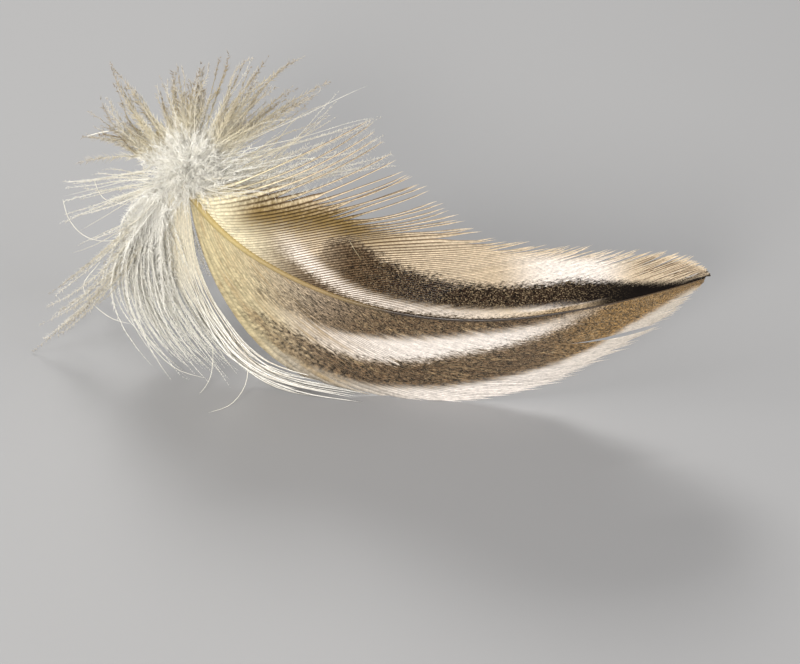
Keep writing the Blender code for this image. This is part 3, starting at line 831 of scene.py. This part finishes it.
class Wiring:
    """Adds nodes to one node tree and joins them."""

    def __init__(self, tree):
        self.tree = tree
        self.count = 0

    def add(self, kind, settings=None, **inputs):
        node = self.tree.nodes.new(kind)
        node.location = (self.count * NODE_STEP[0], self.count * NODE_STEP[1])
        self.count += 1
        for key, value in (settings or {}).items():
            setattr(node, key, value)
        for key, value in inputs.items():
            self.put(node.inputs[key.replace("_", " ")], value)
        return node

    def put(self, socket, value):
        if isinstance(value, bpy.types.NodeSocket):
            self.tree.links.new(value, socket)
        else:
            socket.default_value = value

    def group(self, group, **inputs):
        return self.add("ShaderNodeGroup", {"node_tree": group}, **inputs).outputs

    def map(self, name):
        return self.add("ShaderNodeUVMap", {"uv_map": name}).outputs[0]

    def noise(self, vector, scale, detail, roughness=0.5):
        node = self.add("ShaderNodeTexNoise", Vector=vector, Scale=scale)
        self.put(node.inputs["Detail"], detail)
        self.put(node.inputs["Roughness"], roughness)
        return node.outputs[0]

    def maths(self, operation, *values):
        node = self.add("ShaderNodeMath", {"operation": operation})
        for socket, value in zip(node.inputs, values):
            self.put(socket, value)
        return node.outputs[0]

    def times(self, first, *others):
        for value in others:
            first = self.maths("MULTIPLY", first, value)
        return first

    def scaled(self, value, by, plus):
        return self.maths("MULTIPLY_ADD", value, by, plus)

    def rest(self, value):
        return self.maths("SUBTRACT", 1.0, value)

    def ramp(self, value, low, high):
        """Rises smoothly from 0 at `low` to 1 at `high`."""
        node = self.add("ShaderNodeMapRange", {"interpolation_type": "SMOOTHSTEP"},
                        Value=value, From_Min=low, From_Max=high)
        return node.outputs["Result"]

    def ramps(self, value, table):
        return {name: self.ramp(value, *limits) for name, limits in table.items()}

    def past(self, value, line, softness):
        """1 where the value is over the line, 0 where it is under, with a soft change."""
        return self.ramp(self.maths("SUBTRACT", value, line), -softness, softness)

    def mix(self, factor, first, second, blend="MIX"):
        node = self.add("ShaderNodeMix", {"data_type": "RGBA", "blend_type": blend})
        self.put(node.inputs[0], factor)
        self.put(node.inputs[6], first)
        self.put(node.inputs[7], second)
        return node.outputs[2]

    def shade(self, colour, tone):
        return self.mix(1.0, colour, self.vector(tone, tone, tone), "MULTIPLY")

    def split(self, vector):
        return self.add("ShaderNodeSeparateXYZ", Vector=vector).outputs

    def vector(self, x, y, z=0.0):
        return self.add("ShaderNodeCombineXYZ", X=x, Y=y, Z=z).outputs[0]

    def curve(self, value, points):
        """A smooth curve through points on the paper, from a place on its map."""
        node = self.add("ShaderNodeFloatCurve", Value=value)
        line = node.mapping.curves[0]
        for index, (x, y) in enumerate(points):
            place = ((x - MAP_CORNER[0]) / MAP_SIDE, y / HIGH)
            if index < 2:
                line.points[index].location = place
            else:
                line.points.new(*place)
        node.mapping.extend = "HORIZONTAL"
        node.mapping.update()
        return self.maths("MULTIPLY", node.outputs[0], HIGH)

    def bump(self, height, strength, distance):
        return self.add("ShaderNodeBump", Height=height, Strength=strength, Distance=distance).outputs[0]


# Colours.
CREAM = (0.65, 0.53, 0.38, 1)
DUSKY_CREAM = (0.56, 0.46, 0.35, 1)
# The pale arms' own cream, also used for the far vane's painted sheen.
PALE_CREAM_AND_PAINTED_SHEEN = (0.95, 0.875, 0.81, 1)
WARM_BASE = (0.65, 0.555, 0.33, 1)
PALE_BASE = (0.76, 0.69, 0.49, 1)
ROOT_RIM = (0.50, 0.45, 0.38, 1)
DOWN_WHITE = (0.98, 0.96, 0.89, 1)
STRIP_CREAM = (0.92, 0.86, 0.69, 1)
STRIP_WHITE = (0.95, 0.93, 0.87, 1)
OLIVE = (0.215, 0.145, 0.052, 1)
BROWN = (0.108, 0.068, 0.036, 1)
DARK_BROWN = (0.022, 0.012, 0.007, 1)
# Near black: painted shade on the far vane's dark brown towards its tip.
PAINTED_SHADE_BLACK = (0.006, 0.004, 0.003, 1)
# Golden brown: painted light on the near vane's brown towards the tip, and the far vane's strip under the
# arm.
GOLDEN_AND_PAINTED_LIGHT = (0.22, 0.130, 0.045, 1)
SPECK = (0.40, 0.30, 0.18, 1)
TAN = (0.40, 0.29, 0.155, 1)
# Painted shade laid in the gaps between barbs, where the barbs shadow each other.
PAINTED_GAP_SHADE = (0.13, 0.08, 0.04, 1)
# The shaft's colour from its root to its tip, and the tan ends of plumes.
SHAFT_STOPS = [
    (0.0, (0.38, 0.285, 0.11, 1)), (0.22, (0.46, 0.36, 0.155, 1)), (0.42, (0.30, 0.21, 0.095, 1)),
    (0.54, (0.035, 0.022, 0.014, 1)), (0.80, (0.030, 0.020, 0.014, 1)), (1.0, (0.10, 0.060, 0.026, 1)),
]
DOWN_STOPS = [
    (0.0, (0.97, 0.93, 0.82, 1)), (0.32, (0.74, 0.66, 0.46, 1)), (0.62, (0.38, 0.30, 0.15, 1)),
    (1.0, (0.19, 0.125, 0.055, 1)),
]

# Markings of the near vane on the paper, in millimetres: the pale arm's middle and half
# width, and the outer edge of the brown.
NEAR_ARM = [
    (-38, 12.6), (-29.5, 11.8), (-24, 10.9), (-18, 9.3), (-12.1, 10.0), (-5.3, 12.2), (2, 15.0), (6, 17.7),
    (9, 20.2),
]
NEAR_ARM_HALF = [
    (-38, 1.0), (-28, 1.3), (-22, 1.9), (-15, 2.3), (-5, 1.9), (2, 1.4), (6, 1.0), (9, 0.4), (12, 0.0),
]
NEAR_OUTER = [
    (-38, 9.0), (-31, 7.2), (-27.8, 5.0), (-19.4, 2.5), (-11, 2.8), (-3.4, 4.7), (2.2, 6.8), (6.6, 9.6),
    (11.7, 15.3), (15.8, 19.5),
]
# Where along the paper each marking of the near vane, and its painted light near the tip, comes in or
# goes out: the place where it is 0 and the place where it is 1.
NEAR_FADES = {
    "arm": (12.0, 1.0), "brown": (-35.0, -18.0), "dusky": (-32.0, -18.0), "pale_in": (-27.0, -9.0),
    "pale_out": (11.0, -2.0), "rim_in": (-20.0, -8.0), "rim_out": (19.0, -3.0), "root_rim": (-31.0, -24.0),
    "streaks": (-12.0, -22.0), "golden": (1.0, 10.0), "flecks": (-32.0, -12.0),
}
# Which shifts of the grain carry tan streaks, dark flecks and tan flecks.
NEAR_SHIFTS = {"streaks": (-0.05, 0.45), "flecks": (0.05, 0.5), "tan": (-0.1, -0.5)}
# Inside the arm the brown comes in along a slanted line, by the distance from the shaft.
NEAR_SLANT_FROM = 18.0
NEAR_SLANT = 0.9
NEAR_SLANT_FADE = (-30.0, -9.0)
ROOT_RIM_STRENGTH = 0.8
STREAK_STRENGTH = 0.75
TAN_STRENGTH = 0.5
# Markings of the far vane: the pale arm, the upper edge of the brown, and the olive line.
FAR_ARM = [
    (-26, 23.6), (-21.5, 22.0), (-17.6, 20.0), (-15.6, 19.0), (-12.6, 18.3), (-7.8, 18.1), (-3.2, 18.2),
    (1.3, 18.8), (6, 19.9), (10, 20.8),
]
FAR_ARM_HALF = [
    (-26, 1.2), (-21.5, 1.2), (-15.6, 1.0), (-8, 0.85), (1.3, 0.75), (6, 0.45), (9, 0.0), (17, 0.0),
]
FAR_TOP = [
    (-22, 19.0), (-19.2, 22.0), (-17.5, 24.0), (-14.9, 24.7), (-11.4, 23.7), (-7.5, 23.0), (-3, 22.8),
    (1.3, 23.4), (6.1, 24.1), (9.8, 23.1), (14.4, 21.9), (17, 22.2),
]
FAR_OLIVE = [(-32, 23.6), (-27, 24.2), (-22.6, 25.0), (-17.9, 25.8), (-12, 26.4), (-6, 27.5)]
# Where along the paper each marking of the far vane, its painted sheen and its painted shade, comes in or
# goes out.
FAR_FADES = {
    "arm_in": (-25.0, -20.5), "arm_out": (6.4, 0.5), "past_arm": (3.0, 8.5), "brown": (-22.5, -15.0),
    "wedge": (-27.5, -19.0), "wedge_full": (-8.0, 0.0), "olive_in": (-31.0, -26.0),
    "olive_out": (-7.0, -16.0), "cream": (-30.0, -18.0), "pale_out": (4.0, -8.0), "painted_sheen_in": (-2.0, 3.5),
    "painted_sheen_out": (10.5, 6.5), "dark_brown": (-18.0, -6.0), "painted_shade_black": (1.0, 9.0),
    "golden": (-2.0, 3.0), "lines": (5.0, -12.0), "tip_gap_shade": (8.0, 12.0), "near_root": (-16.0, -26.0),
    "specks_in": (-24.0, -3.0), "specks_out": (11.0, 3.0),
}
# How high up the paper the painted sheen ends, the half width of the olive line, how dark the
# wedge under the arm gets and is at least, and how strong the arm's paleness is.
PAINTED_SHEEN_UNDER = (29.0, 26.5)
OLIVE_HALF = 1.4
WEDGE_LEVEL = (0.1, 0.9)
FAR_PALE_STRENGTH = 0.7
# How deep the painted shade in the lines between barbs is: how much more and at least, how much
# more at the tip, and, near the root, how it softens towards the shaft.
FAR_GAP_SHADE_DEPTH = (0.62, 0.33)
FAR_TIP_GAP_SHADE = 0.55
ROOT_GAP_SHADE_FROM = (0.02, 0.30)
ROOT_GAP_SHADE_LEVEL = (0.70, 0.30)
NEAR_GAP_SHADE_DEPTH = 0.22
STRIP_GAP_SHADE_DEPTH = 0.4
# Where along the strip it turns from cream to white, and which shifts of its grain are tan.
STRIP_FADE = (0.20, 0.60)
STRIP_TAN = (0.0, 0.5)
STRIP_TAN_STRENGTH = 0.4
# How ragged a vane's markings are, by the shift and by the hatch of the grain, and how
# soft the edges of its bands, its brown and its arm's side are.
NEAR_RAGGED = (0.8, 2.4)
FAR_RAGGED = (0.6, 2.0)
NEAR_SOFT = (1.1, 1.0, 0.3)
FAR_SOFT = (0.8, 0.8, 0.3)
# The highest line that a marking may have on the paper.
HIGH = 40.0

# The barbs' grain: a barb's own share of the shift, how fast streaks and hatch change
# from barb to barb and along a barb, and which cells and clouds show.
BARB_SHIFT = 0.5
STREAK_SCALE = (0.45, 7.0)
HATCH_SCALE = (1.1, 60.0)
CELL_SIZE = (0.75, 0.20)
CELL_BRIGHT = (0.35, 1.0)
CLOUD_SHOWS = (0.30, 0.70)
# Their shading and grain: where the line between two barbs is, painted as shade, how strong
# hatch, tone and cloud are, the darkest tone, how strong specks are, and how high the ridge is in the bump.
GAP_SHADE_EDGE = (0.74, 0.14)
HATCH_GAIN = 8.0
HATCH_LEVEL = (0.90, 0.16)
TONE_LEVEL = (0.24, 0.88)
CLOUD_LEVEL = (0.60, 0.10)
DARKEST = 0.15
SPECK_STRENGTH = 0.85
RIDGE_HEIGHT = 0.6
SOCKET_KINDS = {
    "Colour": "NodeSocketColor", "Barb": "NodeSocketVector", "Paper": "NodeSocketVector",
    "Place": "NodeSocketVector",
}


def new_group(name, inputs, outputs):
    group = bpy.data.node_groups.new(name, "ShaderNodeTree")
    for way, sockets in (("INPUT", inputs), ("OUTPUT", outputs)):
        for socket in sockets:
            kind = SOCKET_KINDS.get(socket, "NodeSocketFloat")
            group.interface.new_socket(socket, in_out=way, socket_type=kind)
    wiring = Wiring(group)
    return group, wiring, wiring.add("NodeGroupInput").outputs, wiring.add("NodeGroupOutput").inputs


def barb_grain_group():
    """Each barb's own ridge, tone and shift of the markings, and the specks on its barbules."""
    group, wiring, source, result = new_group(
        "barb_grain", ["Barb", "Paper", "Count"],
        ["Ridge", "Tone", "Shift", "Speck", "Hatch", "Cloud", "Run"])
    place = wiring.split(source["Barb"])
    wiring.put(result["Run"], place["Y"])
    lane = wiring.times(place["X"], source["Count"])
    across = wiring.scaled(wiring.maths("FRACT", lane), 2.0, -1.0)
    wiring.put(result["Ridge"], wiring.rest(wiring.maths("ABSOLUTE", across)))
    own = wiring.add("ShaderNodeTexWhiteNoise", {"noise_dimensions": "1D"}, W=wiring.maths("FLOOR", lane))
    own = own.outputs["Value"]
    wiring.put(result["Tone"], own)
    run = wiring.vector(wiring.times(lane, STREAK_SCALE[0]), wiring.times(place["Y"], STREAK_SCALE[1]))
    streak = wiring.scaled(wiring.noise(run, 1.0, 3.0, 0.65), 2.0, -1.0)
    shift = wiring.scaled(own, BARB_SHIFT, -BARB_SHIFT / 2)
    wiring.put(result["Shift"], wiring.maths("ADD", shift, streak))
    cells = wiring.add("ShaderNodeTexVoronoi", Vector=source["Paper"], Scale=520.0)
    bright = wiring.ramp(wiring.split(cells.outputs["Color"])["X"], *CELL_BRIGHT)
    wiring.put(result["Speck"], wiring.times(bright, wiring.ramp(cells.outputs["Distance"], *CELL_SIZE)))
    hatch = wiring.vector(wiring.times(lane, HATCH_SCALE[0]), wiring.times(place["Y"], HATCH_SCALE[1]))
    wiring.put(result["Hatch"], wiring.noise(hatch, 1.0, 2.0, 0.7))
    cloud = wiring.noise(source["Paper"], 75.0, 4.0, 0.6)
    wiring.put(result["Cloud"], wiring.ramp(cloud, *CLOUD_SHOWS))
    return group


def band_group():
    """A band across the vane: 1 within its half width of its centre line, with soft sides."""
    group, wiring, source, result = new_group(
        "band", ["Height", "Centre", "Half Width", "Softness"], ["Band"])
    off = wiring.maths("ABSOLUTE", wiring.maths("SUBTRACT", source["Height"], source["Centre"]))
    inner = wiring.maths("SUBTRACT", source["Half Width"], source["Softness"])
    outer = wiring.maths("ADD", source["Half Width"], source["Softness"])
    wiring.put(result["Band"], wiring.rest(wiring.ramp(off, inner, outer)))
    return group


def barb_shade_and_grain_group():
    """Paints shade into the lines between barbs, mottles the colour, and adds pale specks where it is dark.
    """
    group, wiring, source, result = new_group(
        "barb_shade_and_grain", ["Colour", "Ridge", "Tone", "Speck", "Hatch", "Cloud", "Line Depth", "Dark"],
        ["Colour", "Height"])
    # The line between two barbs is darkened: painted shade in the gap.
    lines = wiring.times(wiring.ramp(source["Ridge"], *GAP_SHADE_EDGE), source["Line Depth"])
    colour = wiring.mix(lines, source["Colour"], PAINTED_GAP_SHADE, "MULTIPLY")
    hatch = wiring.scaled(source["Hatch"], HATCH_GAIN, -HATCH_GAIN / 2)
    cloud = wiring.maths("SUBTRACT", source["Cloud"], 0.5)
    level = wiring.scaled(source["Tone"], *TONE_LEVEL)
    level = wiring.scaled(cloud, wiring.scaled(source["Dark"], *CLOUD_LEVEL), level)
    level = wiring.scaled(hatch, wiring.scaled(source["Dark"], *HATCH_LEVEL), level)
    colour = wiring.shade(colour, wiring.maths("MAXIMUM", level, DARKEST))
    speck = wiring.times(source["Speck"], source["Dark"], SPECK_STRENGTH)
    wiring.put(result["Colour"], wiring.mix(speck, colour, SPECK))
    wiring.put(result["Height"], wiring.scaled(source["Ridge"], RIDGE_HEIGHT, source["Hatch"]))
    return group


def mottle_group():
    """A soft light and dark mottle over a colour, from any place on the piece."""
    group, wiring, source, result = new_group(
        "mottle", ["Colour", "Place", "Scale", "Amount"], ["Colour", "Height"])
    cloud = wiring.noise(source["Place"], source["Scale"], 3.0)
    tone = wiring.scaled(wiring.maths("SUBTRACT", cloud, 0.5), source["Amount"], 1.0)
    wiring.put(result["Colour"], wiring.shade(source["Colour"], tone))
    wiring.put(result["Height"], cloud)
    return group


def start_material(name, roughness, specular=0.5, sheen=0.0):
    material = bpy.data.materials.new(name)
    material.use_nodes = True
    shader = material.node_tree.nodes["Principled BSDF"]
    shader.inputs["Roughness"].default_value = roughness
    shader.inputs["Specular IOR Level"].default_value = specular
    shader.inputs["Sheen Weight"].default_value = sheen
    shader.inputs["Sheen Roughness"].default_value = 0.4
    return material, Wiring(material.node_tree), shader.inputs


def vane_inputs(wiring, grain, count, ragged):
    """Where a point is on the paper, in millimetres, its ragged height, and its barb's grain."""
    paper = wiring.map("paper")
    place = wiring.split(paper)
    along = wiring.scaled(place["X"], MAP_SIDE, MAP_CORNER[0])
    up = wiring.scaled(place["Y"], MAP_SIDE, MAP_CORNER[1])
    detail = wiring.group(grain, Barb=wiring.map("barb"), Paper=paper, Count=float(count))
    height = wiring.scaled(detail["Shift"], ragged[0], up)
    height = wiring.maths("ADD", height, wiring.scaled(detail["Hatch"], ragged[1], -ragged[1] / 2))
    return place["X"], along, up, height, detail


def finish_vane(wiring, shader, colour, detail, line_depth, dark, shade_and_grain):
    """Joins the barbs' painted gap shade and grain to the shader: its colour, and its height as a fine bump.
    """
    grain = {name: detail[name] for name in ("Ridge", "Tone", "Speck", "Hatch", "Cloud")}
    result = wiring.group(shade_and_grain, Colour=colour, Line_Depth=line_depth, Dark=dark, **grain)
    wiring.put(shader["Base Color"], result["Colour"])
    wiring.put(shader["Normal"], wiring.bump(result["Height"], 0.7, 0.0001))


def near_vane_material(grain, band, shade_and_grain):
    material, wiring, shader = start_material("near_vane", 0.50, 0.22, 0.04)
    across_map, along, up, height, detail = vane_inputs(wiring, grain, NEAR["count"], NEAR_RAGGED)
    fade = wiring.ramps(along, NEAR_FADES)
    shift = wiring.ramps(detail["Shift"], NEAR_SHIFTS)
    centre, half, outer = (wiring.curve(across_map, line) for line in (NEAR_ARM, NEAR_ARM_HALF, NEAR_OUTER))
    band_soft, edge_soft, side_soft = NEAR_SOFT
    arm = wiring.group(band, Height=height, Centre=centre, Half_Width=half, Softness=band_soft)["Band"]
    arm = wiring.times(arm, fade["arm"])
    inside = wiring.past(height, outer, edge_soft)
    above = wiring.past(up, centre, side_soft)
    slant = wiring.scaled(wiring.maths("SUBTRACT", NEAR_SLANT_FROM, up), NEAR_SLANT, along)
    inner = wiring.times(above, wiring.ramp(slant, *NEAR_SLANT_FADE))
    outer = wiring.times(wiring.rest(above), fade["brown"])
    dark = wiring.times(inside, wiring.rest(arm), wiring.maths("ADD", inner, outer))
    edge = wiring.rest(inside)
    cream = wiring.mix(fade["dusky"], WARM_BASE, DUSKY_CREAM)
    cream = wiring.mix(wiring.times(edge, fade["root_rim"], ROOT_RIM_STRENGTH), cream, ROOT_RIM)
    pale = wiring.maths("MAXIMUM", wiring.times(arm, fade["pale_in"], fade["pale_out"]),
                        wiring.times(edge, wiring.times(fade["rim_in"], fade["rim_out"])))
    cream = wiring.mix(pale, cream, PALE_CREAM_AND_PAINTED_SHEEN)
    cream = wiring.mix(wiring.times(shift["streaks"], fade["streaks"], STREAK_STRENGTH), cream, TAN)
    # Towards the tip the brown turns golden: painted light where light falls on the brown band.
    brown = wiring.mix(fade["golden"], BROWN, GOLDEN_AND_PAINTED_LIGHT)
    brown = wiring.mix(wiring.times(shift["flecks"], fade["flecks"], STREAK_STRENGTH), brown, DARK_BROWN)
    brown = wiring.mix(wiring.times(shift["tan"], TAN_STRENGTH), brown, TAN)
    finish_vane(wiring, shader, wiring.mix(dark, cream, brown), detail, NEAR_GAP_SHADE_DEPTH, dark, shade_and_grain)
    return material


def far_vane_material(grain, band, shade_and_grain):
    material, wiring, shader = start_material("far_vane", 0.48, 0.09)
    across_map, along, up, height, detail = vane_inputs(wiring, grain, FAR["count"], FAR_RAGGED)
    fade = wiring.ramps(along, FAR_FADES)
    centre, half, top, olive_line = (
        wiring.curve(across_map, line) for line in (FAR_ARM, FAR_ARM_HALF, FAR_TOP, FAR_OLIVE))
    band_soft, edge_soft, side_soft = FAR_SOFT
    arm = wiring.group(band, Height=height, Centre=centre, Half_Width=half, Softness=band_soft)["Band"]
    arm = wiring.times(arm, fade["arm_out"], fade["arm_in"])
    over_arm = wiring.past(up, centre, side_soft)
    past_arm = wiring.maths("MAXIMUM", over_arm, fade["past_arm"])
    under_arm = wiring.rest(past_arm)
    clear = wiring.rest(arm)
    dark = wiring.times(wiring.past(top, height, edge_soft), past_arm, clear, fade["brown"])
    wedge = wiring.times(under_arm, clear, fade["wedge"], wiring.scaled(fade["wedge_full"], *WEDGE_LEVEL))
    dark = wiring.maths("MAXIMUM", dark, wedge)
    olive = wiring.group(band, Height=height, Centre=olive_line, Half_Width=OLIVE_HALF, Softness=OLIVE_HALF)
    olive = wiring.times(olive["Band"], fade["olive_out"], fade["olive_in"])
    # A pale patch past the arm, high on the far vane, is a painted sheen; the pale mix below holds it and the
    # arm's own paleness.
    painted_sheen = wiring.times(fade["painted_sheen_in"], fade["painted_sheen_out"], wiring.ramp(up, *PAINTED_SHEEN_UNDER), over_arm)
    pale = wiring.maths("MAXIMUM", wiring.times(arm, fade["pale_out"], FAR_PALE_STRENGTH), painted_sheen)
    cream = wiring.mix(fade["cream"], PALE_BASE, CREAM)
    cream = wiring.mix(pale, cream, PALE_CREAM_AND_PAINTED_SHEEN)
    cream = wiring.mix(olive, cream, OLIVE)
    brown = wiring.mix(fade["dark_brown"], BROWN, DARK_BROWN)
    # Towards the tip the dark brown turns near black: painted shade.
    brown = wiring.mix(fade["painted_shade_black"], brown, PAINTED_SHADE_BLACK)
    brown = wiring.mix(wiring.times(under_arm, fade["golden"]), brown, GOLDEN_AND_PAINTED_LIGHT)
    depth = wiring.scaled(fade["lines"], *FAR_GAP_SHADE_DEPTH)
    depth = wiring.scaled(fade["tip_gap_shade"], FAR_TIP_GAP_SHADE, depth)
    from_shaft = wiring.scaled(wiring.ramp(detail["Run"], *ROOT_GAP_SHADE_FROM), *ROOT_GAP_SHADE_LEVEL)
    depth = wiring.mix(fade["near_root"], depth, wiring.times(depth, from_shaft))
    specks = wiring.times(dark, fade["specks_out"], fade["specks_in"])
    finish_vane(wiring, shader, wiring.mix(dark, cream, brown), detail, depth, specks, shade_and_grain)
    return material


def strip_material(grain, shade_and_grain):
    material, wiring, shader = start_material("basal_strip", 0.5, 0.4, 0.2)
    barb = wiring.map("barb")
    detail = wiring.group(grain, Barb=barb, Paper=barb, Count=float(STRIP_COUNT))
    cream = wiring.mix(wiring.ramp(wiring.split(barb)["Y"], *STRIP_FADE), STRIP_CREAM, STRIP_WHITE)
    tan = wiring.times(wiring.ramp(detail["Shift"], *STRIP_TAN), STRIP_TAN_STRENGTH)
    finish_vane(wiring, shader, wiring.mix(tan, cream, TAN), detail, STRIP_GAP_SHADE_DEPTH, 0.0, shade_and_grain)
    return material


def strand_ramp(wiring, stops):
    """The colour at a place along a strand, and the strand's two places."""
    place = wiring.split(wiring.map("strand"))
    node = wiring.add("ShaderNodeValToRGB", Fac=place["Y"])
    elements = node.color_ramp.elements
    elements[0].position, elements[0].color = stops[0]
    elements[1].position, elements[1].color = stops[-1]
    for position, colour in stops[1:-1]:
        elements.new(position).color = colour
    return place, node.outputs[0]


def shaft_material(mottle):
    material, wiring, shader = start_material("shaft", 0.32)
    place, colour = strand_ramp(wiring, SHAFT_STOPS)
    around = wiring.vector(wiring.times(place["X"], 3.0), wiring.times(place["Y"], 90.0))
    result = wiring.group(mottle, Colour=colour, Place=around, Scale=1.0, Amount=0.6)
    wiring.put(shader["Base Color"], result["Colour"])
    wiring.put(shader["Normal"], wiring.bump(result["Height"], 0.3, 0.00005))
    return material


def down_material(mottle):
    material, wiring, shader = start_material("down", 0.55, 0.4, 0.3)
    place, colour = strand_ramp(wiring, DOWN_STOPS)
    colour = wiring.mix(place["X"], DOWN_WHITE, colour)
    point = wiring.add("ShaderNodeTexCoord").outputs["Object"]
    result = wiring.group(mottle, Colour=colour, Place=point, Scale=600.0, Amount=0.25)
    wiring.put(shader["Base Color"], result["Colour"])
    return material


FLOOR_SIZE = 4.0
FLOOR_GREY = (0.275, 0.275, 0.28, 1)
FLOOR_ROUGHNESS = 0.8
# Area lights, which all look at the feather: place in metres, size, power and colour.
LIGHTS = {
    "key": ((-0.12, -0.41, 0.27), 0.14, 1.85, (1.0, 0.97, 0.92)),
    "fill": ((0.36, -0.20, 0.20), 0.30, 1.3, (0.98, 0.98, 1.0)),
    "rim": ((-0.05, 0.34, 0.36), 0.18, 2.0, (1.0, 0.99, 0.96)),
    "side": ((-0.19, -0.06, 0.19), 0.10, 0.32, (1.0, 0.99, 0.97)),
}
LIGHT_TARGET = (0, 0, 0.015)
WORLD_COLOUR = (1.0, 0.99, 0.97, 1)
WORLD_STRENGTH = 0.25


def make_floor():
    deselect_all()
    bpy.ops.mesh.primitive_plane_add(size=FLOOR_SIZE, location=(0, 0, 0))
    floor = bpy.context.object
    floor.name = "floor"
    material, _, shader = start_material("floor", FLOOR_ROUGHNESS)
    shader["Base Color"].default_value = FLOOR_GREY
    floor.data.materials.append(material)


def make_lights():
    for name, (place, size, energy, colour) in LIGHTS.items():
        data = bpy.data.lights.new(name, "AREA")
        data.size = size
        data.energy = energy
        data.color = colour
        lamp = bpy.data.objects.new(name, data)
        lamp.location = place
        lamp.rotation_euler = (Vector(LIGHT_TARGET) - lamp.location).to_track_quat("-Z", "Y").to_euler()
        bpy.context.collection.objects.link(lamp)
    world = bpy.data.worlds.new("studio")
    world.use_nodes = True
    background = world.node_tree.nodes["Background"]
    background.inputs["Color"].default_value = WORLD_COLOUR
    background.inputs["Strength"].default_value = WORLD_STRENGTH
    bpy.context.scene.world = world
    bpy.context.scene.view_settings.view_transform = "Standard"


# The camera, from the photograph: its height and distance, how far it looks down, and
# how far it is turned about its own line of sight.
CAMERA_PLACE = (0.00517, -0.18835, 0.16193)
CAMERA_DOWN = 40.0
CAMERA_ROLL = -5.0
CAMERA_LENS = 99.0


def make_camera():
    down = math.radians(CAMERA_DOWN)
    roll = math.radians(CAMERA_ROLL)
    forward = Vector((0, math.cos(down), -math.sin(down)))
    right = Vector((1, 0, 0))
    up = right.cross(forward)
    image_right = right * math.cos(roll) + up * math.sin(roll)
    image_up = up * math.cos(roll) - right * math.sin(roll)
    data = bpy.data.cameras.new("camera")
    data.lens = CAMERA_LENS
    data.sensor_width = 36.0
    data.clip_start = 0.01
    camera = bpy.data.objects.new("camera", data)
    turn = Matrix((image_right, image_up, -forward)).transposed()
    camera.matrix_world = Matrix.Translation(CAMERA_PLACE) @ turn.to_4x4()
    bpy.context.collection.objects.link(camera)
    bpy.context.scene.camera = camera


def dress(piece, material):
    """Gives a finished piece its material and its place on the body."""
    piece.data.materials.clear()
    piece.data.materials.append(material)
    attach(piece, "root")
    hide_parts("feather")


def main():
    chance = np.random.default_rng(SEED)
    grain = barb_grain_group()
    band = band_group()
    shade_and_grain = barb_shade_and_grain_group()
    mottle = mottle_group()
    make_camera()
    make_floor()
    make_lights()
    near = make_vane("near_vane", NEAR, chance)[0]
    dress(near, near_vane_material(grain, band, shade_and_grain))
    far, far_barbs = make_vane("far_vane", FAR, chance)
    dress(far, far_vane_material(grain, band, shade_and_grain))
    dress(make_strip(chance), strip_material(grain, shade_and_grain))
    dress(make_shaft(), shaft_material(mottle))
    down = down_material(mottle)
    dress(make_fringe("root_fringe", far_barbs, chance), down)
    dress(make_loose_barbs(), down)
    for name, fans in DOWN_PIECES.items():
        barbules = SKIRT_BARBULES if name == "down_skirt" else BARBULES
        dress(make_down(name, fan_plumes(fans, chance), barbules, chance), down)
    spikes = make_down("down_spikes", spike_plumes(SPIKES, *SPIKE_LOOKS, chance), SPIKE_BARBULES, chance)
    hairs = make_down("down_hairs", spike_plumes(HAIRS, *HAIR_LOOKS, chance), HAIR_BARBULES, chance)
    dress(join_into("down_spikes", [spikes, hairs]), down)
    dress(make_down("down_core", core_plumes(chance), CORE_BARBULES, chance), down)


main()
